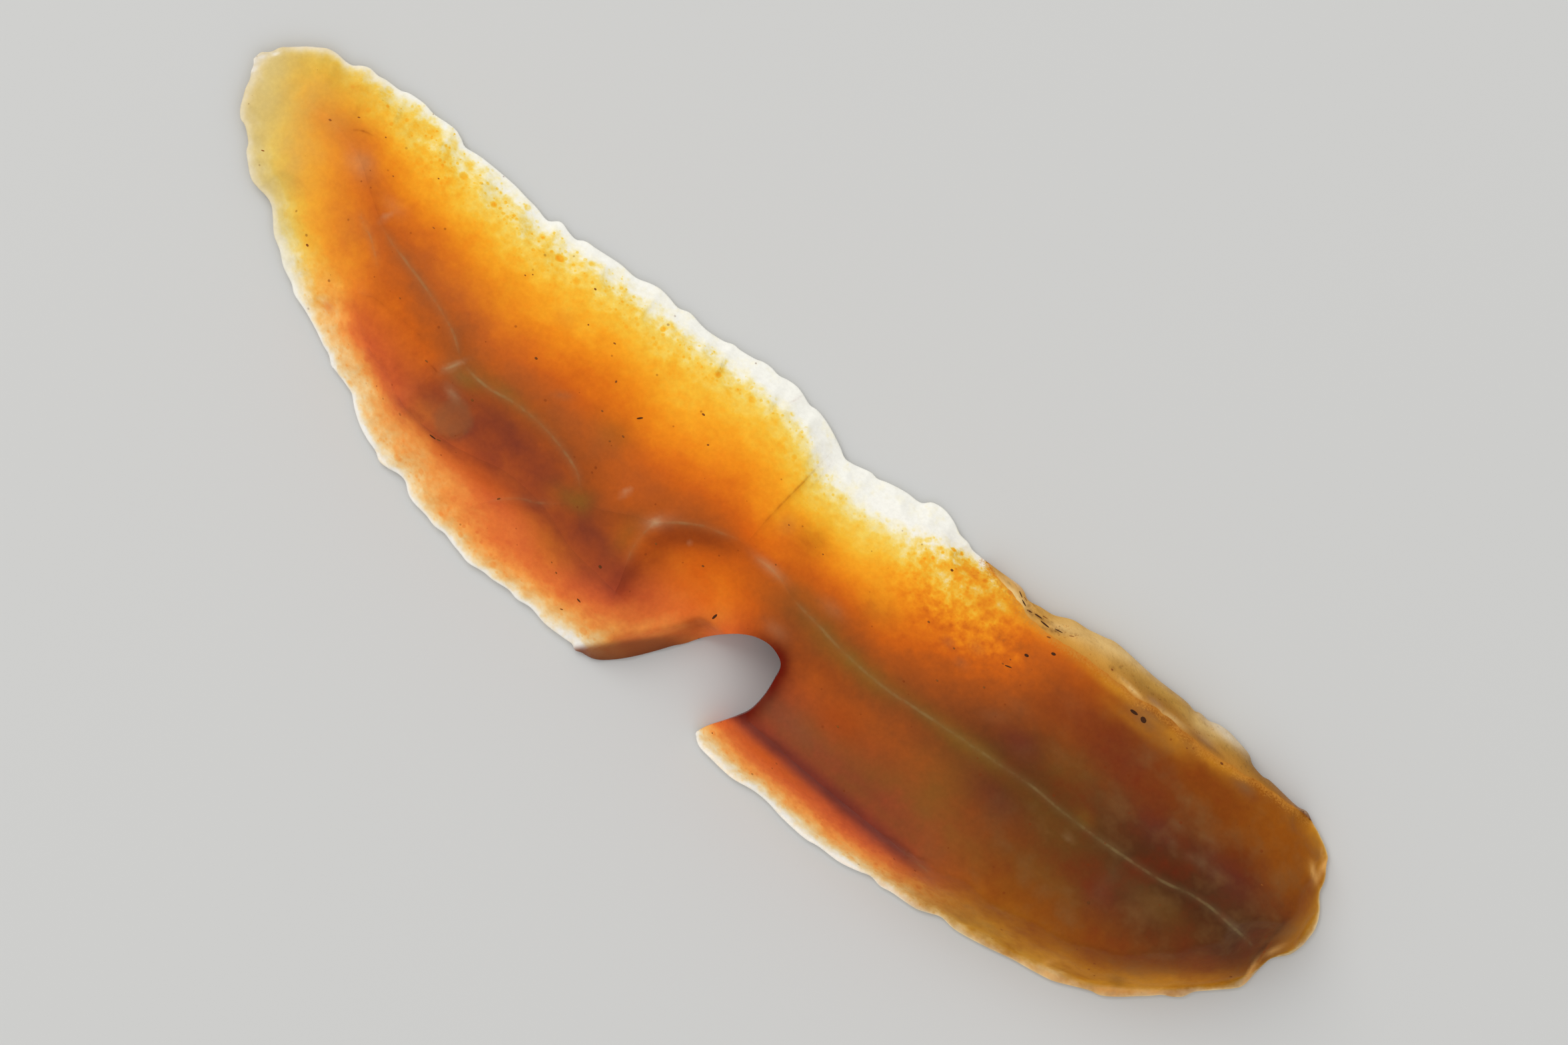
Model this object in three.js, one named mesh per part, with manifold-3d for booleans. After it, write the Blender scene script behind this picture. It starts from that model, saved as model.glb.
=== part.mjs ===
// A long knapped flint blade lying on its flat ventral face.
// Millimetres. +X runs from the tip to the butt, +Y to the straighter back edge, +Z up.
// The origin is under the middle of the blade, on the face that it rests on.
import * as THREE from 'three';
import { mergeVertices } from 'three/addons/utils/BufferGeometryUtils.js';
import Module from 'manifold-3d';

// Overall size of the blade
const bladeLength = 103;
const bladeWidth = 26.25;
const bladeThickness = 8;

// The sharp edge all round, the ventral bevel under it, and the lift of the ventral face at the tip
const edgeHeight = 0.4;
const edgeWave = 0.12;
const ventralBevel = 1.1;
const tipLift = 0.5;

// Pressure retouch along both edges: small steep scars side by side
const retouchWidth = 1.1;
const retouchHeight = 1.3;
const retouchPitch = 2.1;
const retouchBite = 0.28;

// How hollow the long flake scars are between two arrises
const backScarHollow = 0.45;
const ridgeScarHollow = 0.25;
const bellyScarHollow = 0.3;

// The notch in the belly edge, and the sloping lip on its tip side
const notchWidth = 12.7;
const notchDepth = 9.7;
const notchLipSetback = 1.4;
const notchLipHeight = 2.3;

// The broad flake scar that thins the stone beside the notch
const notchScarWidth = 13.8;
const notchScarLength = 19;
const notchScarDepth = 4.2;
const notchScarCurve = 6.6;

// The scar on the back edge, opposite the notch
const backBiteLength = 14;
const backBiteWidth = 11;
const backBiteDepth = 0.6;
const backBiteCurve = 5;

// The small scar on the ventral face, where the bulb is
const bulbScarLength = 9;
const bulbScarWidth = 6.5;
const bulbScarDepth = 0.35;
const bulbScarCurve = 3;

// The butt: a steep struck facet, and the sizes of the chips round it
const platformSetback = 1.9;
const platformHeight = 7;
const chipLength = 3.4;
const chipWidth = 2.2;
const chipHeight = 2.6;

// The remnant of chalky cortex on the back edge
const cortexShoulderHeight = 3.3;
const cortexGap = 0.3;

// One overrun for every cut, and the counts that set how finely the solid is divided
const overrun = 4;
const facetSteps = 3;
const calmSamples = 7;
const ballSides = 36;
const ballRings = 18;
const notchSamples = 44;

// Back edge, tip to butt: share of the length from the tip, share of the width from the middle
const backEdgeShares = [
  [0, 0.24], [0.001, 0.267], [0.004, 0.278], [0.007, 0.29], [0.01, 0.314], [0.015, 0.331],
  [0.024, 0.362], [0.031, 0.381], [0.037, 0.396], [0.045, 0.402], [0.053, 0.4], [0.059, 0.404],
  [0.064, 0.419], [0.07, 0.429], [0.078, 0.427], [0.085, 0.432], [0.097, 0.434], [0.104, 0.444],
  [0.117, 0.448], [0.127, 0.442], [0.139, 0.446], [0.147, 0.446], [0.154, 0.436], [0.16, 0.425],
  [0.17, 0.43], [0.18, 0.432], [0.204, 0.43], [0.218, 0.423], [0.228, 0.419], [0.238, 0.41],
  [0.242, 0.413], [0.247, 0.429], [0.251, 0.43], [0.257, 0.423], [0.265, 0.419], [0.271, 0.432],
  [0.282, 0.436], [0.301, 0.444], [0.316, 0.442], [0.327, 0.455], [0.336, 0.461], [0.345, 0.457],
  [0.354, 0.451], [0.363, 0.461], [0.374, 0.455], [0.382, 0.453], [0.395, 0.459], [0.402, 0.469],
  [0.409, 0.469], [0.421, 0.476], [0.427, 0.484], [0.434, 0.486], [0.442, 0.482], [0.449, 0.488],
  [0.457, 0.49], [0.464, 0.484], [0.473, 0.472], [0.48, 0.474], [0.49, 0.465], [0.5, 0.45],
  [0.51, 0.432], [0.517, 0.417], [0.525, 0.419], [0.538, 0.432], [0.545, 0.43], [0.553, 0.44],
  [0.567, 0.451], [0.579, 0.453], [0.583, 0.461], [0.587, 0.476], [0.597, 0.482], [0.608, 0.472],
  [0.617, 0.455], [0.626, 0.451], [0.633, 0.442], [0.655, 0.444], [0.674, 0.448], [0.681, 0.44],
  [0.684, 0.432], [0.689, 0.432], [0.696, 0.438], [0.707, 0.444], [0.717, 0.463], [0.723, 0.47],
  [0.733, 0.474], [0.746, 0.486], [0.757, 0.495], [0.791, 0.488], [0.82, 0.49], [0.83, 0.484],
  [0.835, 0.49], [0.843, 0.488], [0.85, 0.497], [0.859, 0.5], [0.869, 0.495], [0.881, 0.486],
  [0.888, 0.469], [0.899, 0.461], [0.906, 0.465], [0.931, 0.457], [0.94, 0.463], [0.947, 0.451],
  [0.956, 0.438], [0.966, 0.419], [0.973, 0.4], [0.976, 0.379], [0.982, 0.343], [0.985, 0.305],
  [0.993, 0.267], [0.998, 0.229], [1, 0.19],
];

// Belly edge, tip to butt, in the same shares; the notch is cut out of it afterwards
const bellyEdgeShares = [
  [0, 0.24], [0.003, 0.225], [0.004, 0.21], [0.007, 0.19], [0.009, 0.16], [0.012, 0.133],
  [0.015, 0.107], [0.02, 0.084], [0.026, 0.076], [0.035, 0.046], [0.038, 0.023], [0.044, 0],
  [0.053, -0.029], [0.061, -0.038], [0.07, -0.042], [0.077, -0.053], [0.083, -0.076],
  [0.092, -0.114], [0.102, -0.137], [0.112, -0.168], [0.124, -0.19], [0.131, -0.21],
  [0.145, -0.227], [0.16, -0.251], [0.17, -0.27], [0.178, -0.282], [0.184, -0.301],
  [0.189, -0.305], [0.204, -0.32], [0.209, -0.328], [0.218, -0.358], [0.228, -0.383],
  [0.238, -0.4], [0.248, -0.411], [0.255, -0.427], [0.263, -0.427], [0.272, -0.421],
  [0.279, -0.425], [0.286, -0.446], [0.293, -0.457], [0.306, -0.463], [0.316, -0.472],
  [0.325, -0.47], [0.335, -0.48], [0.343, -0.486], [0.352, -0.493], [0.364, -0.486],
  [0.374, -0.486], [0.387, -0.48], [0.396, -0.486], [0.408, -0.48], [0.423, -0.49],
  [0.44, -0.488], [0.448, -0.486], [0.452, -0.495], [0.457, -0.488], [0.558, -0.461],
  [0.566, -0.484], [0.578, -0.491], [0.599, -0.497], [0.617, -0.486], [0.631, -0.486],
  [0.646, -0.495], [0.668, -0.5], [0.68, -0.493], [0.699, -0.49], [0.714, -0.476],
  [0.723, -0.465], [0.733, -0.47], [0.743, -0.463], [0.762, -0.457], [0.772, -0.444],
  [0.782, -0.429], [0.796, -0.432], [0.82, -0.415], [0.84, -0.396], [0.859, -0.383],
  [0.874, -0.37], [0.888, -0.345], [0.9, -0.324], [0.908, -0.316], [0.919, -0.286],
  [0.927, -0.259], [0.937, -0.225], [0.942, -0.206], [0.949, -0.19], [0.955, -0.171],
  [0.959, -0.141], [0.966, -0.114], [0.98, -0.061], [0.984, -0.038], [0.985, 0],
  [0.986, 0.046], [0.988, 0.076], [0.996, 0.114], [0.999, 0.152], [1, 0.19],
];

// The main arris and the lower shoulder arris, tip to butt: share of the length, share of the
// local width from the belly edge, and share of the thickness
const ridgeShares = [
  [0, 0.5, 0.1], [0.01, 0.47, 0.19], [0.05, 0.52, 0.35], [0.1, 0.5, 0.49], [0.15, 0.494, 0.6],
  [0.21, 0.486, 0.69], [0.255, 0.438, 0.75], [0.31, 0.459, 0.79], [0.36, 0.435, 0.81],
  [0.4, 0.406, 0.825], [0.44, 0.443, 0.84], [0.475, 0.516, 0.85], [0.51, 0.556, 0.865],
  [0.58, 0.512, 0.9], [0.65, 0.515, 0.925], [0.73, 0.502, 0.965], [0.8, 0.494, 0.99],
  [0.87, 0.474, 1], [0.92, 0.472, 0.985], [0.96, 0.37, 0.93], [0.985, 0.353, 0.8],
  [0.995, 0.46, 0.5], [1, 0.5, 0.2],
];
const shoulderShares = [
  [0, 0.25, 0.1], [0.01, 0.235, 0.165], [0.05, 0.245, 0.275], [0.1, 0.25, 0.375],
  [0.15, 0.247, 0.475], [0.21, 0.224, 0.55], [0.255, 0.233, 0.61], [0.31, 0.233, 0.66],
  [0.36, 0.238, 0.69], [0.4, 0.229, 0.7], [0.44, 0.22, 0.71], [0.475, 0.198, 0.72],
  [0.51, 0.173, 0.72], [0.58, 0.173, 0.735], [0.65, 0.17, 0.75], [0.73, 0.13, 0.74],
  [0.8, 0.12, 0.74], [0.87, 0.14, 0.725], [0.92, 0.154, 0.735], [0.96, 0.18, 0.71],
  [0.985, 0.22, 0.6], [0.995, 0.25, 0.4], [1, 0.25, 0.2],
];

// How much of the cortex shoulder stands on the back edge, tip to butt
const cortexRiseShares = [
  [0, 0], [0.56, 0], [0.62, 0.2], [0.69, 0.6], [0.73, 0.9], [0.88, 1], [0.94, 0.6], [0.97, 0.2], [1, 0],
];

// Plan outline of the notch: shares of its width from the tip side and of its depth from the edge
const notchMouthShare = 0.457;
const notchOutlineShares = [
  [0, 0.03], [0.063, 0.046], [0.118, 0.082], [0.189, 0.165], [0.268, 0.284], [0.346, 0.423],
  [0.394, 0.515], [0.441, 0.588], [0.504, 0.716], [0.583, 0.835], [0.661, 0.923], [0.74, 0.979],
  [0.819, 1], [0.882, 0.99], [0.937, 0.959], [0.969, 0.907], [0.98, 0.835], [0.996, 0.68],
  [0.988, 0.526], [0.953, 0.423], [0.906, 0.32], [0.85, 0.206], [0.815, 0.103], [0.78, 0],
];

// Middle of the broad scar beside the notch, and its turn, a share of a full circle
const notchScarPlaceShares = [0.505, -0.324];
const notchScarTurnShare = -0.05;

// Middle of the scar on the back edge, with its height as a share of the thickness
const backBitePlaceShares = [0.565, 0.32, 0.4];

// Middle of the scar on the ventral face
const bulbScarPlaceShares = [0.92, 0.1];

// The tip end of the length over which the ventral face lifts
const tipLiftShare = 0.22;

// How far an edge is averaged to take its scallops out, and how much less near the ends
const calmReachShare = 0.025;
const endCalm = 0.4;

// Chips round the butt: share of the length, share of the width, share of the thickness
const chipPlaceShares = [
  [0.981, 0.4, 0.62], [0.915, -0.34, 0.36], [0.938, -0.262, 0.4], [0.878, -0.4, 0.3],
];

// Inner border of the cortex, tip end to butt end, in shares of the length and the width
const cortexBorderShares = [
  [0.648, 0.42], [0.66, 0.413], [0.684, 0.4], [0.704, 0.393], [0.733, 0.404], [0.772, 0.402],
  [0.8, 0.393], [0.835, 0.4], [0.869, 0.415], [0.898, 0.43], [0.931, 0.437], [0.95, 0.436],
];

const flintMaterial = new THREE.MeshStandardMaterial({ color: 0xb8682a, roughness: 0.32, metalness: 0 });
const cortexMaterial = new THREE.MeshStandardMaterial({ color: 0xd9c491, roughness: 0.85, metalness: 0 });

const wasm = await Module();
wasm.setup();

const alongBlade = (share) => (share - 0.5) * bladeLength;
const acrossBlade = (share) => share * bladeWidth;

// Straight lines between the rows of a table; column 0 is the share of the length
function lineAt(rows, share, column) {
  const next = Math.max(1, rows.findIndex((row) => row[0] >= share));
  const from = rows[next - 1];
  const to = rows[next];
  return THREE.MathUtils.mapLinear(share, from[0], to[0], from[column], to[column]);
}

// A smooth curve through the rows of a table, with the slope at a row from its two neighbours
function curveAt(rows, share, column) {
  const next = Math.max(1, rows.findIndex((row) => row[0] >= share));
  const slope = (index) => {
    const before = rows[Math.max(0, index - 1)];
    const after = rows[Math.min(rows.length - 1, index + 1)];
    return (after[column] - before[column]) / (after[0] - before[0]);
  };
  const from = rows[next - 1];
  const to = rows[next];
  const span = to[0] - from[0];
  const t = (share - from[0]) / span;
  const bulge = t * (1 - t) * span;
  const straight = THREE.MathUtils.lerp(from[column], to[column], t * t * (3 - 2 * t));
  return straight + bulge * ((1 - t) * slope(next - 1) - t * slope(next));
}

// An edge without its scallops: the mean of some places round the share, closer near the ends
function calmLineAt(rows, share) {
  const reach = Math.min(calmReachShare, share * endCalm, (1 - share) * endCalm);
  let sum = 0;
  for (let sample = 0; sample < calmSamples; sample += 1) {
    const offset = THREE.MathUtils.mapLinear(sample, 0, calmSamples - 1, -reach, reach);
    sum += lineAt(rows, share + offset, 1);
  }
  return sum / calmSamples;
}

// One facet of a section, hollowed between two arrises: points from startY up to the crest
function facetPoints(base, crest, hollow, startY) {
  const start = THREE.MathUtils.clamp((startY - base.y) / (crest.y - base.y), -0.5, 0.5);
  const points = [];
  for (let step = 0; step < facetSteps; step += 1) {
    const t = THREE.MathUtils.lerp(start, 1, step / facetSteps);
    const point = new THREE.Vector3().lerpVectors(base, crest, t);
    point.z -= hollow * 4 * t * (1 - t);
    points.push(point);
  }
  return points;
}

// The cross-section at one station: back edge, over the dorsal face to the belly edge, and back
function sectionRing(share) {
  const x = alongBlade(share);
  const backY = acrossBlade(lineAt(backEdgeShares, share, 1));
  const bellyY = acrossBlade(lineAt(bellyEdgeShares, share, 1));
  const calmBackY = acrossBlade(calmLineAt(backEdgeShares, share));
  const calmBellyY = acrossBlade(calmLineAt(bellyEdgeShares, share));
  const calmWidth = calmBackY - calmBellyY;
  // Near the two ends the section is too narrow for the full bevels, so they shrink with it
  const taper = Math.min(1, calmWidth / (4 * (retouchWidth + ventralBevel)));
  const phase = (2 * Math.PI * x) / retouchPitch;
  const cortexRise = lineAt(cortexRiseShares, share, 1);
  const ventralZ = tipLift * Math.max(0, 1 - share / tipLiftShare) ** 2;
  const edgeZ = ventralZ + edgeHeight;

  const at = (y, z) => new THREE.Vector3(x, y, z);
  const arrisY = (rows) => calmBellyY + calmWidth * curveAt(rows, share, 1);
  const arris = (rows, base) => at(
    arrisY(rows),
    Math.max(base.z, bladeThickness * curveAt(rows, share, 2)),
  );

  const backSpan = Math.min(
    taper * retouchWidth * (1 + cortexRise),
    (calmBackY - arrisY(ridgeShares)) / 2,
  );
  const bellySpan = Math.min(taper * retouchWidth, (arrisY(shoulderShares) - calmBellyY) / 2);
  const backLift = THREE.MathUtils.lerp(retouchHeight, cortexShoulderHeight, cortexRise);
  const backBase = at(calmBackY - backSpan, edgeZ + taper * backLift);
  const bellyBase = at(calmBellyY + bellySpan, edgeZ + taper * retouchHeight);
  const ridge = arris(ridgeShares, backBase);
  const shoulder = arris(shoulderShares, bellyBase);
  const bite = taper * retouchBite;
  const backRimY = backY - backSpan - bite * Math.cos(phase);
  const bellyRimY = bellyY + bellySpan + bite * Math.sin(phase);
  const wave = taper * edgeWave;
  const undercut = taper * ventralBevel;

  return [
    at(backY, edgeZ + wave * Math.sin(phase)),
    ...facetPoints(backBase, ridge, taper * backScarHollow, backRimY),
    ...facetPoints(ridge, shoulder, taper * ridgeScarHollow, ridge.y),
    shoulder,
    ...facetPoints(bellyBase, shoulder, taper * bellyScarHollow, bellyRimY).reverse(),
    at(bellyY, edgeZ + wave * Math.cos(phase)),
    at(bellyY + undercut, ventralZ),
    at(backY - undercut, ventralZ),
  ];
}

// A closed skin through the sections, with one point at each end
function loft(rings, start, end) {
  const points = [start, ...rings.flat(), end];
  const count = rings[0].length;
  const last = points.length - 1;
  const index = [];
  const place = (ring, step) => 1 + ring * count + (step % count);
  for (let step = 0; step < count; step += 1) {
    index.push(0, place(0, step + 1), place(0, step));
    index.push(last, place(rings.length - 1, step), place(rings.length - 1, step + 1));
    for (let ring = 0; ring + 1 < rings.length; ring += 1) {
      index.push(place(ring, step), place(ring, step + 1), place(ring + 1, step));
      index.push(place(ring, step + 1), place(ring + 1, step + 1), place(ring + 1, step));
    }
  }
  const geometry = new THREE.BufferGeometry().setFromPoints(points);
  geometry.setIndex(index);
  return geometry;
}

// The blade before the notch and the later scars, with a section wherever an edge turns
function bladeBlank() {
  const shares = [...backEdgeShares, ...bellyEdgeShares].map((row) => row[0]);
  const stations = [...new Set(shares)].sort((a, b) => a - b).filter((share) => share > 0 && share < 1);
  const endPoint = (share, lift) => {
    const across = acrossBlade(lineAt(backEdgeShares, share, 1));
    return new THREE.Vector3(alongBlade(share), across, edgeHeight + lift);
  };
  return loft(stations.map(sectionRing), endPoint(0, tipLift), endPoint(1, 0));
}

// A closed three.js geometry as a solid that can be joined and cut
function solid(geometry) {
  const bare = geometry.clone();
  bare.deleteAttribute('normal');
  bare.deleteAttribute('uv');
  const merged = mergeVertices(bare);
  return new wasm.Manifold(new wasm.Mesh({
    numProp: 3,
    vertProperties: new Float32Array(merged.attributes.position.array),
    triVerts: new Uint32Array(merged.index.array),
  }));
}

function namedMesh(name, body, material) {
  const { vertProperties, triVerts } = body.getMesh();
  const geometry = new THREE.BufferGeometry();
  geometry.setAttribute('position', new THREE.BufferAttribute(vertProperties, 3));
  geometry.setIndex(new THREE.BufferAttribute(triVerts, 1));
  geometry.computeVertexNormals();
  const mesh = new THREE.Mesh(geometry, material);
  mesh.name = name;
  return mesh;
}

// An egg-shaped cutter: what it takes off leaves a hollow flake scar
function scarCutter(place, radii, lean, turn) {
  const ball = new THREE.SphereGeometry(1, ballSides, ballRings);
  ball.scale(radii.x, radii.y, radii.z);
  ball.rotateX(lean);
  ball.rotateZ(turn);
  ball.translate(place.x, place.y, place.z);
  return solid(ball);
}

// The notch goes right through, and its tip side slopes back as it rises
function notchCutter() {
  const toPlan = ([widthShare, depthShare]) => new THREE.Vector2(
    alongBlade(notchMouthShare) + widthShare * notchWidth,
    depthShare * notchDepth - bladeWidth / 2,
  );
  const wall = new THREE.SplineCurve(notchOutlineShares.map(toPlan)).getPoints(notchSamples);
  const first = wall[0];
  const last = wall[wall.length - 1];
  const outside = [
    new THREE.Vector2(last.x, last.y - overrun),
    new THREE.Vector2(first.x - notchLipSetback, first.y - overrun),
  ];
  const height = bladeThickness + 2 * overrun;
  const block = new THREE.ExtrudeGeometry(new THREE.Shape([...wall, ...outside]), {
    depth: height,
    bevelEnabled: false,
    steps: 1,
  });
  block.translate(0, 0, -overrun);
  const lean = notchLipSetback / notchLipHeight;
  const head = alongBlade(notchMouthShare) + notchWidth;
  const position = block.attributes.position;
  for (let index = 0; index < position.count; index += 1) {
    const tipSide = THREE.MathUtils.clamp((head - position.getX(index)) / notchWidth, 0, 1);
    const away = lean * position.getZ(index) * THREE.MathUtils.smoothstep(tipSide, 0, 1);
    position.setX(index, position.getX(index) - away);
  }
  return solid(block);
}

// Half widths of an egg that is as long and wide as its scar where it meets the surface
function scarRadii(length, width, depth, curve) {
  const sink = 1 - depth / curve;
  const spread = 1 / Math.sqrt(1 - sink * sink);
  return new THREE.Vector3((length / 2) * spread, (width / 2) * spread, curve);
}

// The broad scar whose border is the curved arris on the tip side of the notch
function notchScarCutter() {
  const surface = bladeThickness * lineAt(ridgeShares, notchMouthShare, 2);
  const centre = new THREE.Vector3(
    alongBlade(notchScarPlaceShares[0]),
    acrossBlade(notchScarPlaceShares[1]),
    surface - notchScarDepth + notchScarCurve,
  );
  const radii = scarRadii(notchScarWidth, notchScarLength, notchScarDepth, notchScarCurve);
  return scarCutter(centre, radii, 0, notchScarTurnShare * 2 * Math.PI);
}

// A shallow scar on the back facet: it leans as the facet does between its rim and the arris
function backBiteCutter() {
  const [alongShare, acrossShare, heightShare] = backBitePlaceShares;
  const rise = bladeThickness * lineAt(ridgeShares, alongShare, 2) - edgeHeight - retouchHeight;
  const run = (bladeWidth / 2) - retouchWidth;
  const lean = Math.atan2(rise, run);
  const radii = scarRadii(backBiteLength, backBiteWidth, backBiteDepth, backBiteCurve);
  const out = backBiteCurve - backBiteDepth;
  const centre = new THREE.Vector3(
    alongBlade(alongShare),
    acrossBlade(acrossShare) + out * Math.sin(lean),
    heightShare * bladeThickness + out * Math.cos(lean),
  );
  return scarCutter(centre, radii, -lean, 0);
}

// The small scar under the bulb, hollowed upwards out of the ventral face
function bulbScarCutter() {
  const radii = scarRadii(bulbScarLength, bulbScarWidth, bulbScarDepth, bulbScarCurve);
  const centre = new THREE.Vector3(
    alongBlade(bulbScarPlaceShares[0]),
    acrossBlade(bulbScarPlaceShares[1]),
    bulbScarDepth - bulbScarCurve,
  );
  return scarCutter(centre, radii, 0, 0);
}

// The struck facet on the butt: everything above a steep plane goes
function platformCutter() {
  const reach = bladeWidth + overrun;
  const block = new THREE.BoxGeometry(reach, reach, reach);
  block.translate(reach / 2, 0, 0);
  block.rotateY(-Math.atan2(platformSetback, platformHeight));
  block.translate(bladeLength / 2, 0, 0);
  return solid(block);
}

function chipCutters() {
  const radii = new THREE.Vector3(chipLength / 2, chipWidth / 2, chipHeight / 2);
  return chipPlaceShares.map(([alongShare, acrossShare, heightShare]) => {
    const place = new THREE.Vector3(
      alongBlade(alongShare),
      acrossBlade(acrossShare),
      heightShare * bladeThickness,
    );
    return scarCutter(place, radii, 0, 0);
  });
}

// The part of the blank that is cortex, moved in towards the flint by a margin
function cortexZone(margin) {
  const border = cortexBorderShares.map(([alongShare, acrossShare]) => new THREE.Vector2(
    alongBlade(alongShare),
    acrossBlade(acrossShare) - margin,
  ));
  border[0].x -= margin;
  border[border.length - 1].x += margin;
  const inner = new THREE.SplineCurve(border).getPoints(2 * border.length);
  const outerY = bladeWidth / 2 + overrun;
  const outside = [
    new THREE.Vector2(inner[inner.length - 1].x, outerY),
    new THREE.Vector2(inner[0].x, outerY),
  ];
  const zone = new THREE.ExtrudeGeometry(new THREE.Shape([...inner, ...outside]), {
    depth: bladeThickness + 2 * overrun,
    bevelEnabled: false,
    steps: 1,
  });
  zone.translate(0, 0, -overrun);
  return solid(zone);
}

let stone = solid(bladeBlank());
stone = stone.subtract(notchScarCutter());
stone = stone.subtract(notchCutter());
stone = stone.subtract(backBiteCutter());
stone = stone.subtract(bulbScarCutter());
stone = stone.subtract(platformCutter());
for (const chip of chipCutters()) {
  stone = stone.subtract(chip);
}

const blade = new THREE.Group();
blade.add(namedMesh('flint_body', stone.subtract(cortexZone(cortexGap)), flintMaterial));
blade.add(namedMesh('cortex_rim', stone.intersect(cortexZone(0)), cortexMaterial));

export default blade;
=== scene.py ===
"""A knapped flint blade with a notch in its belly edge, lying on its flat ventral face.

Sizes are in millimetres until a mesh is made. +X runs from the tip to the butt, +Y to the back
edge and +Z up out of the dorsal face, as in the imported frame.
"""
import math

import bmesh
import bpy
import numpy as np
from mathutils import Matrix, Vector, noise
from mathutils.geometry import delaunay_2d_cdt
from mathutils.kdtree import KDTree


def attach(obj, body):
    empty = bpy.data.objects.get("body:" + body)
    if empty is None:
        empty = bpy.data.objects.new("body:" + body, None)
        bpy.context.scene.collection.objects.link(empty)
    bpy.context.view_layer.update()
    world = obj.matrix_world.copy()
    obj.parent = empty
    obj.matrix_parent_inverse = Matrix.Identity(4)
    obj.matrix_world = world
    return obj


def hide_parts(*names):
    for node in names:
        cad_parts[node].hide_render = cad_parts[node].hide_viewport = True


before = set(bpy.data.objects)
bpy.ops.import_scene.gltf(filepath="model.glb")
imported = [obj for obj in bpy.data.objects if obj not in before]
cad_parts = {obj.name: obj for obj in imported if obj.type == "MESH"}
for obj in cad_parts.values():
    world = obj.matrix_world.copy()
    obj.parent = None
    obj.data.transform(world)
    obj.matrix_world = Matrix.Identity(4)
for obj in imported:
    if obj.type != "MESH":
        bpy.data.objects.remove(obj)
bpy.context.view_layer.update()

MM = 0.001

# Overall size of the blade; the sections beyond the last one are all like it
BLADE_LENGTH = 103
BLADE_WIDTH = 26.25
BLADE_THICKNESS = 8
LEAST_THICKNESS = 0.06
LAST_SECTION = 51.3

# The plan stays inside these two places, and so inside the box of the solids
BOX_BUTT = 51.44
BOX_SIDE = 13.12

# The edge all round: its height, how thick its sharp land is, and how steeply the face rises from it
EDGE_HEIGHT = 0.4
EDGE_LAND = 0.12
RIM_SLOPE = 1.6
EDGE_TOLERANCE = 0.005

# The ventral face: its bevels to the edge and round the notch, the lift of the tip, and faint waves
# round the point of the blow, with where they are full and how far inside the edge they begin
VENTRAL_BEVEL = 1.1
BEVEL_CURVE = 1.3
BEVEL_WOBBLE = {"share": 0.35, "lump": 3.5, "seed": 21}
NOTCH_BEVEL = 0.3
NOTCH_BEVEL_HEIGHT = 0.12
TIP_LIFT = 0.5
TIP_LIFT_SHARE = 0.22
VENTRAL_WAVES = {
    "x": 50, "y": 5, "height": 0.03, "per_mm": 1.1, "lump": 12, "seed": 31, "full_from": 30,
    "inland": (0.8, 3),
}

# Rims that the long facets run down to before the retouch is struck off, and how hollow the facets are
RETOUCH_WIDTH = 1.1
RETOUCH_HEIGHT = 1.3
CORTEX_SHOULDER_HEIGHT = 3.3
BACK_HOLLOW = 0.45
CENTRE_HOLLOW = 0.25
BELLY_HOLLOW = 0.3
# The rims shrink where the blade is narrower than this many of them, down to this share
FULL_TAPER_RIMS = 4
LEAST_TAPER = 0.05
# The round on each long arris where it is crisp, and what wear adds beyond
MAIN_ROUND = (0.04, 0.4)
SHOULDER_ROUND = (0.06, 1.8)
WORN_BEFORE = 5
WORN_AFTER = 4
# Share of the length that scallops are averaged over, and how near to its neighbours an arris may come
CALM_REACH_SHARE = 0.025
RIDGE_LIMIT_SHARES = (0.3, 0.25)
SHOULDER_LIMIT_SHARES = (0.12, 0.05)

# The retouch scars: their pitch along the edge, their length inwards, and the crest between two
RETOUCH_PITCH = 2.1
RETOUCH_REACH = (1.4, 3.4)
RETOUCH_CREST = 0.3
RETOUCH_SCOOP = 0.12
RETOUCH_SEED = 7
# Where the first one sits on its run, and how far from its middle the edge's direction is taken
RETOUCH_START = 0.4
RETOUCH_SIDE = 0.8
# How much they vary: half width as a share of the pitch, lean, and shares of the scoop and the crest
RETOUCH_HALF_SHARES = (0.5, 0.72)
RETOUCH_LEAN = 0.25
RETOUCH_SCOOP_SHARES = (0.6, 1.5)
RETOUCH_CREST_SHARES = (0.7, 1.2)
# The way to the next one in half widths, and the longest one as a share of the blade's width there
RETOUCH_STRIDE = (1.45, 1.75)
RETOUCH_LONGEST_SHARE = 0.22
# How far out a scar is worked out, in its reaches and half widths, and how its crest grows from the rim
RETOUCH_FAR = (1.7, 1.9)
RETOUCH_RIM_CREST = (0.25, 1.5)
# How far the back's retouch runs under both ends of the cortex, where the belly's ends, and what share of
# the usual length the scars on the butt half have
RETOUCH_PAST_CORTEX = (0.8, 0.6)
RETOUCH_BELLY_END = 49.3
BUTT_REACH_SHARES = (0.8, 0.6)

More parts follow.
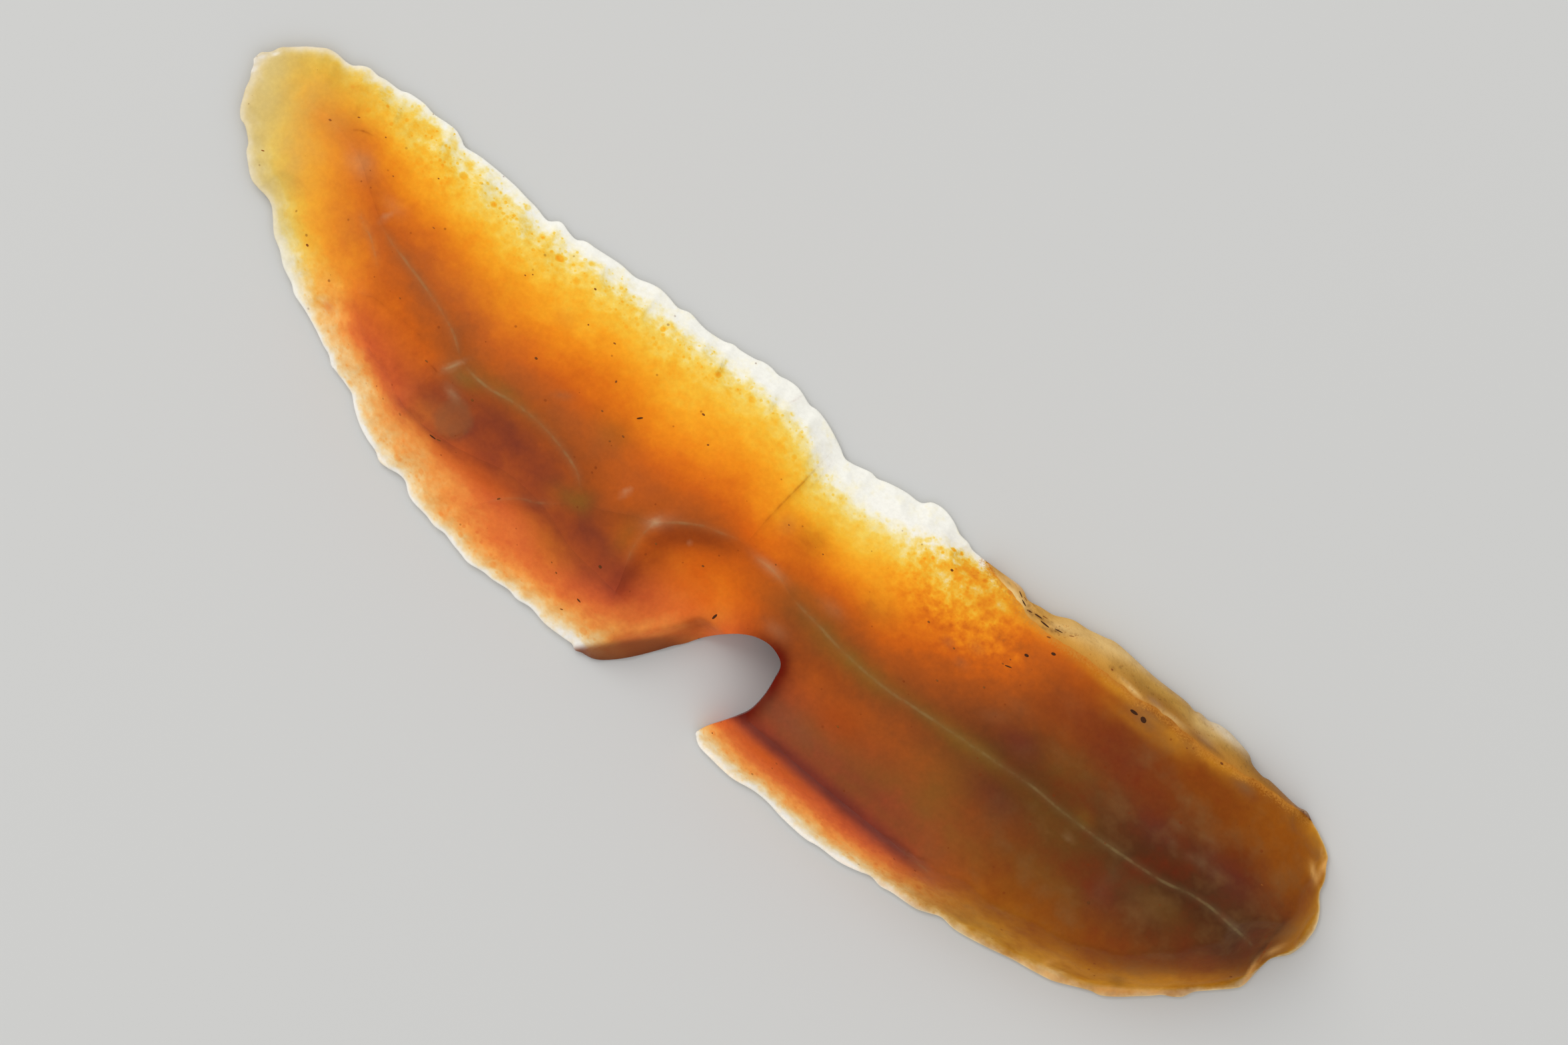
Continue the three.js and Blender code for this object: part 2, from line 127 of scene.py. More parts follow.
# The notch in the belly edge and the sloping lip on its tip side
NOTCH_WIDTH = 12.7
NOTCH_DEPTH = 9.7
NOTCH_MOUTH_SHARE = 0.457
NOTCH_LIP_SLOPE = 1.6
NOTCH_LIP_FOOT = 0.3
NOTCH_LIP_END = (2.6, -5.5)
NOTCH_LIP_RISE = (-1.2, 3)
NOTCH_LIP_RIPPLE = {"height": 0.12, "per_mm": 2.1}
NOTCH_LIP_BORDER = (
    (-5.4, -13.3), (-5.3, -12.7), (-3.9, -11.15), (-2.5, -9.65), (-1.3, -8.4), (0, -7), (1.35, -5.65),
    (2.8, -4.6),
)
NOTCH_LIP_CORNERS = ((4.5, -4.6), (4.5, -14.5), (-5.4, -14.5))

# Grid spacings of the mesh, and how far in from the edge the fine grid goes
OUTLINE_STEP = 0.22
CREASE_STEP = 0.3
FINE_STEP = 0.21
COARSE_STEP = 0.36
FINE_BAND = 3.4
RING_GAP = 0.1
UNDERSIDE_STEP = 0.5
WALL_ROWS = 6
TALL_WALL = 0.3
WELD_GAP = 1e-5
CORNER_TOLERANCE = 0.01
# Shares of a spacing: how far grid points are shaken, and how far they keep off lines and edges
GRID_JITTER = 0.12
GRID_CLEARANCE = 0.45
RING_CLEARANCE = 0.8

# Samples between two points of a curve and over an averaged stretch, and the most of the way to the edge's
# end that such a stretch takes
CURVE_SAMPLES = 12
AVERAGE_SAMPLES = 7
END_REACH_SHARE = 0.4
# Keeps a division off zero
TINY = 1e-12
# The layers of cloud noise: how much finer each is, how strong, and how far its seed is shifted
CLOUD_LAYERS = ((1, 1, 0), (2, 0.5, 3), (4, 0.25, 7))

# Back edge, tip to butt: share of the length from the tip, share of the width from the middle
BACK_EDGE_SHARES = (
    (0, 0.24), (0.001, 0.267), (0.004, 0.278), (0.007, 0.29), (0.01, 0.314), (0.015, 0.331),
    (0.024, 0.362), (0.031, 0.381), (0.037, 0.396), (0.045, 0.402), (0.053, 0.4), (0.059, 0.404),
    (0.064, 0.419), (0.07, 0.429), (0.078, 0.427), (0.085, 0.432), (0.097, 0.434), (0.104, 0.444),
    (0.117, 0.448), (0.127, 0.442), (0.139, 0.446), (0.147, 0.446), (0.154, 0.436), (0.16, 0.425),
    (0.17, 0.43), (0.18, 0.432), (0.204, 0.43), (0.218, 0.423), (0.228, 0.419), (0.238, 0.41),
    (0.242, 0.413), (0.247, 0.429), (0.251, 0.43), (0.257, 0.423), (0.265, 0.419), (0.271, 0.432),
    (0.282, 0.436), (0.301, 0.444), (0.316, 0.442), (0.327, 0.455), (0.336, 0.461), (0.345, 0.457),
    (0.354, 0.451), (0.363, 0.461), (0.374, 0.455), (0.382, 0.453), (0.395, 0.459), (0.402, 0.469),
    (0.409, 0.469), (0.421, 0.476), (0.427, 0.484), (0.434, 0.486), (0.442, 0.482), (0.449, 0.488),
    (0.457, 0.49), (0.464, 0.484), (0.473, 0.472), (0.48, 0.474), (0.49, 0.465), (0.5, 0.45),
    (0.51, 0.432), (0.517, 0.417), (0.525, 0.419), (0.538, 0.432), (0.545, 0.43), (0.553, 0.44),
    (0.567, 0.451), (0.579, 0.453), (0.583, 0.461), (0.587, 0.476), (0.597, 0.482), (0.608, 0.472),
    (0.617, 0.455), (0.626, 0.451), (0.633, 0.442), (0.655, 0.444), (0.674, 0.448), (0.681, 0.44),
    (0.684, 0.432), (0.689, 0.432), (0.696, 0.438), (0.707, 0.444), (0.717, 0.463), (0.723, 0.47),
    (0.733, 0.474), (0.746, 0.486), (0.757, 0.495), (0.791, 0.488), (0.82, 0.49), (0.83, 0.484),
    (0.835, 0.49), (0.843, 0.488), (0.85, 0.497), (0.859, 0.5), (0.869, 0.495), (0.881, 0.486),
    (0.888, 0.469), (0.899, 0.461), (0.906, 0.465), (0.931, 0.457), (0.94, 0.463), (0.947, 0.451),
    (0.956, 0.438), (0.966, 0.419), (0.973, 0.4), (0.976, 0.379), (0.982, 0.343), (0.985, 0.305),
    (0.993, 0.267), (0.998, 0.229), (1, 0.19),
)

# Belly edge, tip to butt, in the same shares, straight across the notch
BELLY_EDGE_SHARES = (
    (0, 0.24), (0.003, 0.225), (0.004, 0.21), (0.007, 0.19), (0.009, 0.16), (0.012, 0.133),
    (0.015, 0.107), (0.02, 0.084), (0.026, 0.076), (0.035, 0.046), (0.038, 0.023), (0.044, 0),
    (0.053, -0.029), (0.061, -0.038), (0.07, -0.042), (0.077, -0.053), (0.083, -0.076),
    (0.092, -0.114), (0.102, -0.137), (0.112, -0.168), (0.124, -0.19), (0.131, -0.21),
    (0.145, -0.227), (0.16, -0.251), (0.17, -0.27), (0.178, -0.282), (0.184, -0.301),
    (0.189, -0.305), (0.204, -0.32), (0.209, -0.328), (0.218, -0.358), (0.228, -0.383),
    (0.238, -0.4), (0.248, -0.411), (0.255, -0.427), (0.263, -0.427), (0.272, -0.421),
    (0.279, -0.425), (0.286, -0.446), (0.293, -0.457), (0.306, -0.463), (0.316, -0.472),
    (0.325, -0.47), (0.335, -0.48), (0.343, -0.486), (0.352, -0.493), (0.364, -0.486),
    (0.374, -0.486), (0.387, -0.48), (0.396, -0.486), (0.408, -0.48), (0.423, -0.49),
    (0.44, -0.488), (0.448, -0.486), (0.452, -0.495), (0.457, -0.488), (0.558, -0.461),
    (0.566, -0.484), (0.578, -0.491), (0.599, -0.497), (0.617, -0.486), (0.631, -0.486),
    (0.646, -0.495), (0.668, -0.5), (0.68, -0.493), (0.699, -0.49), (0.714, -0.476),
    (0.723, -0.465), (0.733, -0.47), (0.743, -0.463), (0.762, -0.457), (0.772, -0.444),
    (0.782, -0.429), (0.796, -0.432), (0.82, -0.415), (0.84, -0.396), (0.859, -0.383),
    (0.874, -0.37), (0.888, -0.345), (0.9, -0.324), (0.908, -0.316), (0.919, -0.286),
    (0.927, -0.259), (0.937, -0.225), (0.942, -0.206), (0.949, -0.19), (0.955, -0.171),
    (0.959, -0.141), (0.966, -0.114), (0.98, -0.061), (0.984, -0.038), (0.985, 0),
    (0.986, 0.046), (0.988, 0.076), (0.996, 0.114), (0.999, 0.152), (1, 0.19),
)

# Notch outline from its lip round to its butt side: share of its width, share of its depth
NOTCH_OUTLINE_SHARES = (
    (0.063, 0.046), (0.118, 0.082), (0.189, 0.165), (0.268, 0.284), (0.346, 0.423),
    (0.394, 0.515), (0.441, 0.588), (0.504, 0.716), (0.583, 0.835), (0.661, 0.923), (0.74, 0.979),
    (0.819, 1), (0.882, 0.99), (0.937, 0.959), (0.969, 0.907), (0.98, 0.835), (0.996, 0.68),
    (0.988, 0.526), (0.953, 0.423), (0.906, 0.32), (0.85, 0.206),
)

# Height of the two long arrises, tip to butt: share of the length, share of the thickness
ARRIS_HEIGHT_SHARES = (
    (0, 0.1), (0.01, 0.19), (0.05, 0.35), (0.1, 0.49), (0.15, 0.6), (0.21, 0.69), (0.255, 0.75),
    (0.31, 0.79), (0.36, 0.81), (0.4, 0.825), (0.44, 0.84), (0.475, 0.85), (0.51, 0.865),
    (0.58, 0.9), (0.65, 0.925), (0.73, 0.965), (0.8, 0.99), (0.87, 1), (0.92, 0.985),
    (0.96, 0.93), (0.985, 0.8), (0.995, 0.5), (1, 0.2),
)
SHOULDER_HEIGHT_SHARES = (
    (0, 0.1), (0.01, 0.165), (0.05, 0.275), (0.1, 0.375), (0.15, 0.475), (0.21, 0.55), (0.255, 0.61),
    (0.31, 0.66), (0.36, 0.69), (0.4, 0.7), (0.475, 0.72), (0.58, 0.735), (0.65, 0.75), (0.73, 0.74),
    (0.87, 0.725), (0.92, 0.735), (0.96, 0.71), (0.985, 0.6), (0.995, 0.4), (1, 0.2),
)
CORTEX_RISE_SHARES = (
    (0, 0), (0.56, 0), (0.62, 0.2), (0.69, 0.6), (0.73, 0.9), (0.88, 1), (0.94, 0.6), (0.97, 0.2), (1, 0),
)

# The main arris and the shoulder arris in plan, tip to butt
MAIN_ARRIS = (
    (-51.5, 6.3), (-49, 6.2), (-46, 6.3), (-43, 6.3), (-40.3, 5.4), (-38, 3.9), (-35.8, 2.6),
    (-33, 1.75), (-30, 1), (-28, 0.35), (-26.5, -0.35), (-25, -1.35), (-22.5, -1.75), (-20, -1.4),
    (-18, -1.35), (-15, -1.8), (-13, -2.5), (-11.6, -3.4), (-10.3, -3.6), (-9, -3), (-7.5, -2.2),
    (-6.2, -1.7), (-5, -0.75), (-3.5, 0.2), (-1.5, 0.9), (0, 1.25), (1.2, 1), (2.5, 1.05),
    (3.5, 0.95), (5, 0.45), (8, 0), (10, -0.3), (13, -0.5), (15, -0.5), (18, -0.2), (20, 0),
    (24, 0.35), (28, 0.7), (31, 0.65), (34, 0.75), (37, 1), (40, 1.35), (42, 1.85), (43, 2),
    (46, 1.95), (47.5, 1.87), (49, 1.78), (50, 2.1), (51.5, 4.9),
)
SHOULDER_ARRIS = (
    (-51.5, 6.3), (-50.5, 4.4), (-46, 1.5), (-42, -0.5), (-38, -1.7), (-34.5, -2.5), (-33, -4),
    (-31, -5), (-28, -6.1), (-26.3, -6.7), (-22, -6.8), (-19.5, -6.3), (-17.5, -5.8), (-15, -5.8),
    (-13, -6.1), (-10, -7.1), (-7, -7.4), (-5, -7.6), (0, -8.3), (5, -8.6), (8.5, -8.8), (12, -9),
    (18, -9.1), (23, -9.1), (26, -9.2), (30, -9), (34, -8.4), (38, -7.3), (42, -5.4), (45, -3.3),
    (48, -0.8), (49.6, 1), (51.5, 4.9),
)

# Where these two are crisp; beyond, they are worn to a round
CRISP_MAIN = (-41, 49)
CRISP_SHOULDER = (-33, 24)

# Other arrises, each the crisp border of one flake scar
NOTCH_SCAR_ARRIS = (
    (1, 1.2), (0, 1.25), (-1.5, 0.9), (-3.5, 0.2), (-5, -0.75), (-6.1, -1.7), (-6.35, -3), (-6.2, -4.5),
    (-5.8, -5.8), (-5.35, -7.2), (-5.1, -9), (-5.3, -11), (-5.6, -12.4),
)
HINGE_ARRIS = (
    (-24.9, -1.5), (-25.3, -2.3), (-25.9, -3.1), (-26.2, -4.2), (-26.3, -5.6), (-26.5, -6.6),
)
BELLY_CROSS_ARRIS = (
    (-11.9, -4.6), (-12.5, -5), (-13.8, -6), (-15.5, -6.9), (-17, -8.5), (-18.2, -10.2),
)
TIP_STEP_ARRIS = ((-37, 1.8), (-36, 1.4), (-34.4, 0.1), (-33.6, -1.2), (-33.2, -1.9), (-34.3, -2.4))
BACK_CROSS_ARRIS = ((0.05, 1.6), (0.1, 3.5), (0.3, 6), (0.5, 8), (0.65, 10), (0.8, 11.2))
TIP_SPALL_ARRIS = ((-42.4, 6.7), (-42, 7.0), (-41.5, 7.3), (-40.5, 7.5), (-39.3, 7.6))

# The smaller flake scars: arris, further corners of the area, depth, and how soon that is reached
FLAKE_SCARS = (
    (HINGE_ARRIS,
     ((-29, -6.2), (-31, -5), (-33, -4.1), (-34.3, -2.5), (-33.5, 0), (-30, 0.9), (-26.5, -0.5)), 0.3, 0.8),
    (TIP_STEP_ARRIS, ((-38, -4), (-44, -1), (-43, 3), (-39, 4)), 0.22, 0.7),
    (TIP_SPALL_ARRIS, ((-38, 9.5), (-41, 10.5), (-43.5, 9.5)), 0.14, 0.5),
    (BELLY_CROSS_ARRIS, ((-17, -13.5), (-8, -13.5), (-8.5, -6.6)), 0.3, 0.9),
)
SCAR_FADE_RUNS = 3

# The scar beside the notch: middle, half widths and turn, height and rise of its floor, round at its
# crease, how soon it starts, and the stations where it runs out, which lean with y
NOTCH_SCAR = {
    "oval": (0.5, -8.5, 8.625, 10.4, -18), "floor": 2.55, "rise": 4.2, "round": 0.6, "run": 1.3,
    "end": (0.5, 8), "end_lean": 0.5, "end_y": -4,
}
NOTCH_SCAR_CORNERS = ((-5.6, -14), (12, -14), (12, 2.5), (1, 2.5))
# The scar that bites the back edge, with a small step at its arris
BACK_BITE = {
    "oval": (6.7, 8.4, 7.2, 6.2), "depth": 0.6, "run": 0.7,
    "step": 0.16, "step_run": 0.25, "step_reach": 3.5,
}
BACK_BITE_CORNERS = ((0.8, 14), (16, 14), (16, 1.6))
# The scar under the bulb
BULB_SCAR = {"oval": (43.3, 2.6, 4.5, 3.25, 10), "depth": 0.35, "flat": 0.3}

# A small round spall on the face: middle and half widths, its border, and where it starts
POT_LID = (-22.75, -5.2, 1.5, 1.55)
POT_LID_BORDER = (0.85, 1.08)
POT_LID_START = (-24.8, -23.4)

# Faint rings round the point of the blow, and waves of the fracture; both show where the stone is thick
BLOW_RINGS = {"x": 56, "y": 5, "height": 0.014, "per_mm": 2.3, "bend": 1.3, "lump": 14, "seed": 2}
FRACTURE_WAVES = {"height": 0.035, "lump": 5, "seed": 12}
INLAND_HEIGHTS = (0.6, 2.0)

# The struck platform: the line of its upper edge at one height, how that line leans, its slope
PLATFORM_X = 49.2
PLATFORM_Y = 3.5
PLATFORM_LEAN = 0.146
PLATFORM_RUN = 1.95
PLATFORM_SLOPE = 3.4

# Dents knocked out of the rim: middle, half length, half width, turn in degrees if there is one, depth
RIM_DENTS = (
    (49, 9.2, 1.5, 0.8, -62, 0.9), (44.6, -6.3, 1.7, 0.9, 42, 0.6), (42.6, -7.5, 1.4, 0.9, 30, 0.5),
    (46.3, -4.5, 1.3, 0.7, 50, 0.4), (39.6, -8.8, 1.6, 0.8, 20, 0.35), (29.3, 10.5, 1.6, 0.55, 2, 0.25),
    (33, 10.7, 1.4, 0.5, 0.3), (20.8, 10.2, 1.3, 0.6, 5, 0.2), (-50.9, 6.6, 0.8, 0.5, 70, 0.25),
    (-26.9, 9.9, 1.3, 1, 0.2), (10.4, 11.8, 1.6, 1.2, 0.25), (47.6, 11.4, 1.1, 0.6, -35, 0.3),
)
# How much stone above the edge halves a dent
DENT_SOFTNESS = 0.8

# Inner border of the cortex, tip end to butt end; both ends lie on the back edge
CORTEX_BORDER = (
    (15.9, 11.3), (17.2, 11), (18.4, 10.75), (19.5, 10.45), (21.8, 10.3), (24, 10.6), (26, 10.75),
    (28, 10.8), (30, 10.7), (31.5, 10.95), (34, 11.05), (36, 11), (38, 11.2), (40, 11.45),
    (42, 11.65), (44, 11.8), (45.6, 11.85),
)
CORTEX_START_SHARE = 0.643
CORTEX_END_SHARE = 0.949
CORTEX_FOOT_SHARE = 0.03
# How full its rounded side is, and the lumps on it: height, size and seed
CORTEX_FULLNESS = 2.2
CORTEX_ROUND = 0.55
CORTEX_LUMPS = ((0.12, 2.2, 5), (0.07, 0.7, 9))
# How far its inner border wanders, and over what way this starts at its two ends
BORDER_WOBBLE = {"height": 0.34, "lump": 1.3, "seed": 41, "start": 2}

# Stretches of the main arris that catch the light: from, to, and how strongly they show
PALE_MAIN = {
    "tip": (-36, -25, 0.75),
    "middle": (-24.8, -11.8, 0.9),
    "notch": (-6.2, -0.3, 0.7),
    "head": (0.8, 5, 0.7),
    "butt": (5, 49.2, 0.68),
}
# Other arrises that show pale, with a painted highlight, and those that show dark
PALE_ARRISES = {
    "hinge": (((-25, -1.6), (-25.3, -2.3), (-25.8, -2.9)), 1),
    "notch_side": (((-6.1, -1.7), (-6.35, -3), (-6.2, -4.5), (-5.8, -5.8)), 0.8),
    "tip_step": (((-38.1, 2.6), (-37.2, 1.95), (-36, 1.35), (-35, 0.6), (-34.1, -0.1)), 0.85),
    "step_foot": (((-34.4, -2.3), (-33.2, -1.9)), 0.5),
    "belly_cross": (((-12.5, -5), (-13.8, -6), (-15.5, -6.9), (-17, -8.5)), 0.5),
    "shoulder": (((23.2, -9.1), (25, -9.15), (27, -9.1)), 0.45),
}
DARK_ARRISES = {
    "back_cross": (((0.08, 2.4), (0.1, 3.5), (0.3, 6), (0.5, 8), (0.65, 10.6)), 0.42),
    "back_cross_twin": (((1.1, 7.4), (1.2, 9), (1.15, 10.6)), 0.3),
    "orange_crack": (((-3.7, 12.9), (-3.8, 12.2), (-4.15, 11.4)), 0.7),
    "pot_lid": (((-23.8, -6.5), (-22.9, -6.75), (-22, -6.4), (-21.55, -5.6), (-21.8, -4.9)), 0.8),
    "tip_spall": (((-42.4, 6.7), (-42, 7), (-41.5, 7.3), (-40.5, 7.5)), 0.8),
    "hinge_foot": (((-27.1, -3.05), (-26, -3.2), (-24.9, -3.15)), 0.9),
    "hinge_top": (
        ((-34.5, -2.3), (-32.3, -1.85), (-29.8, -1.8), (-28.5, -1.95), (-27, -2.55)), 0.35),
    "platform": (((49.25, 3.6), (49.4, 2), (49.6, 0.6), (49.8, -0.5)), 0.8),
}
# How a line comes in at its two ends, and the gap that stands for no line near
LINE_ENDS = (-0.2, 1.4)
NO_LINE = 9.0

# Light that the flint lets through, by depth of stone in millimetres: golden along the back, salmon on
# the belly side and amber towards the butt
GOLDEN_LIGHT = (
    (0, (254, 252, 242)), (0.8, (254, 246, 214)), (1.4, (253, 233, 158)), (2, (253, 213, 92)),
    (2.6, (254, 191, 54)), (3.2, (254, 168, 36)), (4, (245, 142, 26)), (4.8, (229, 118, 23)),
    (5.6, (208, 98, 22)), (6.4, (180, 86, 26)), (7.4, (149, 74, 29)), (8.6, (113, 58, 27)),
    (10.5, (77, 43, 24)),
)
SALMON_LIGHT = (
    (0, (255, 250, 240)), (0.5, (254, 230, 186)), (1, (254, 210, 144)), (1.6, (252, 184, 103)),
    (2.2, (252, 158, 74)), (3, (238, 123, 56)), (3.8, (222, 102, 50)), (4.6, (200, 85, 46)),
    (5.4, (171, 70, 41)), (6.4, (143, 61, 38)), (7.6, (118, 53, 33)), (10.5, (77, 41, 27)),
)
AMBER_LIGHT = (
    (0, (248, 226, 178)), (0.5, (224, 178, 98)), (1, (202, 141, 46)), (1.6, (185, 117, 26)),
    (2.4, (170, 101, 18)), (3.2, (159, 89, 15)), (4, (150, 80, 16)), (5, (139, 73, 18)),
    (6, (128, 66, 21)), (7, (114, 59, 23)), (8, (100, 53, 23)), (9, (87, 48, 23)),
    (10.5, (73, 41, 22)),
)
DEEPEST = 10.5

# How dark each millimetre of stone is, tip to butt
DENSITY_ALONG = ((5, 1), (15, 1.05), (25, 1.1), (35, 1.12), (45, 1.1), (52, 1))
# Denser and clearer patches: middle, half length, half width, turn if there is one, millimetres added
DENSITY_PATCHES = (
    (-18, 0, 14, 2.2, 0.8), (-18, 4.5, 16, 3.5, 0.4), (-9.5, 0.5, 3, 1.6, 0.5),
    (-30, -3.5, 4, 2.5, -20, 0.7), (-21, -3.4, 4, 1.3, 0.6), (-9, -5, 3.5, 1.5, 0.3),
    (-24.5, -7.6, 5.5, 1.3, -14, -0.9), (-31, -6.3, 3, 1.2, -25, -0.7), (-12.5, -10, 3.5, 1.4, 0.5),
    (-4.2, -8.3, 1, 2.2, -0.7), (23.5, 8, 4.5, 3.6, 1.6), (19, 4, 4, 2.5, 0.6), (17.5, 9, 2, 1.2, -0.4),
    (32, -6.5, 7, 2.2, 8, -1.5), (30, -9, 6, 1.2, 8, -0.8), (49, 8.5, 2, 3, 20, 1),
    (48.6, -2.2, 1.6, 2, 30, 1.4), (46, -4, 2.5, 1, 48, 0.5), (50.3, 4.5, 1.2, 3.5, 0.4),
    (5.8, -1.6, 3, 1.6, 0.4), (6.8, -3.2, 1.8, 1.2, 0.5), (5.4, 11.2, 4.4, 1.9, 3, -2.6),
    (10.2, 11.6, 2.2, 1.1, -12, -1.5), (-4, 12.3, 6, 1.2, -1.6), (-15, 11.6, 8, 0.9, 2, -1),
    (-26, 11, 5, 0.8, -0.6), (0.9, 11.2, 1.5, 1, -0.8), (-47.5, 7.5, 3, 2.2, 1.4), (-43, 7.2, 3, 2, 1),
    (-38, 7, 4, 2, 0.6), (-46, 3, 2.5, 2.5, 0.7), (3.2, 3.6, 3, 1.6, 0.3), (42, 2.5, 5, 2.2, 0.8),
    (25, 1.5, 4, 2, 0.4), (12, 6.5, 4, 2, 0.3), (-34, 1.5, 3, 2, -30, 0.6), (-40, 2.5, 3, 3, 0.8),
    (-33, 4.5, 3.5, 1.5, 0.4), (0.3, 5.5, 1.6, 4, -0.6), (2.5, 0.6, 2.6, 1.4, -0.8),
    (-15, -10.5, 5, 1.3, 0.7), (-3.3, -9.7, 2.2, 0.45, 50, -0.6), (-5.8, -12.5, 1.2, 0.6, -1),
    (-6, -8, 2.2, 1.1, -0.6), (20.5, 8.8, 1.6, 0.8, 0.8), (12, 10.2, 1.6, 0.8, 0.7),
    (15.5, 9.8, 2.6, 0.8, -3, 0.7), (-31, -8.1, 2.5, 0.8, -25, 0.4), (-35.5, -5.8, 2, 0.7, -25, 0.4),
    (40, -6.5, 4, 1.5, 25, -0.6), (27, -11.6, 4, 0.8, 5, 0.8), (34.5, -10.5, 4, 0.8, 14, 1),
    (41, -8.3, 3, 0.8, 25, 0.8), (44.5, -6, 1.5, 0.8, 40, 0.5), (42, 10.3, 6, 1.4, 0.8),
    (25, 9, 2, 1, 0.5), (7, 5.6, 4, 1.8, -0.6), (0, 3.2, 2, 2, -0.7), (12, 4, 3, 1.4, -0.4),
    (20, 5.8, 2, 1.4, -0.5), (3.5, 2.2, 2.4, 1, -0.5), (-5, -2, 1.3, 1.3, -0.8),
    (-25, -6.2, 1.5, 0.8, -0.6), (-22, -8.6, 4, 0.9, -8, -0.4), (34, -8, 3, 1.2, 10, -0.6),
    (-9, -11.2, 3, 0.8, -0.4), (13, 8.2, 3, 1.2, -0.4), (20.3, 10.2, 1, 0.4, -0.4),
    (-29, -1.6, 2.5, 1.2, 0.3), (-15, 4, 2.5, 1.2, 0.5), (-33, 4, 4, 1.3, 0.45), (30, -2, 3, 1.2, -0.5),
    (21, 9, 1.5, 0.7, 0.35), (18, -10.4, 9, 0.8, 0.4), (16, 8.5, 2.5, 1.2, -0.35),
    (35.5, 9, 2, 0.6, -0.4), (-35.5, -2.5, 1.5, 1, -0.4), (27, 6, 4, 1.5, -0.5), (28, -6, 7, 1.4, -0.4),
    (-38, 10.7, 7, 0.7, 3, 0.5), (31, -8.2, 4, 0.9, 8, -0.5),
)
# Share of the retouch relief that shows in the light, and how far from the notch
RELIEF_SHARE = 0.4
RELIEF_FROM_NOTCH = (1, 2.5)
# How wide the clear rim glows, and how much less it does on the butt half
RIM_GLOW = 0.37
LESS_GLOW = 0.5
LESS_GLOW_FROM = (16, 28)

# Where the light turns salmon, below the main arris and behind the tip, and where amber
SALMON_BELOW_ARRIS = 3.5
SALMON_FADE = (-1.5, 3.5)
SALMON_FROM = (-42, -33)
AMBER_FROM = (20, 32)
# Bands of mottled light along both edges, and the stations where each comes and goes
BACK_BAND = {"width": 3, "comes": (-50, -36), "goes": (18, 23)}
BACK_BAND_BULGE = {"width": 2.2, "comes": (8, 12), "goes": (17, 22)}
BELLY_BAND = {"width": 2.6, "comes": (-47, -38), "goes": (26, 32), "strength": 0.4}
# A curdled stretch beside the cortex, and how square its fading is
CRAZED_PATCH = (15.5, 8.6, 6, 3.2, -8)
CRAZED_POWER = 4

# Colours of the stains; glint and sparkle are painted highlights, milk and golden hold some, and violet a
# painted shade band
STAIN_AND_PAINTED_LIGHT_COLOURS = {
    "orange": (226, 100, 16),
    "golden": (222, 150, 40),
    "smoky": (216, 174, 74),
    "haze": (216, 202, 146),
    "umber": (74, 38, 16),
    "violet": (107, 44, 39),
    "olive": (136, 100, 32),
    "blood": (104, 18, 4),
    "milk": (206, 170, 128),
    "slate": (128, 96, 66),
    "glint": (250, 188, 104),
    "sparkle": (254, 250, 244),
}

# The marbling of the butt: olive where its noise is high and red where it is low
OLIVE_MARBLING = (134, 98, 56)
RED_MARBLING = (122, 34, 10)
MARBLING_STRENGTH = 1.5
MARBLING_RAGGED = 0.6
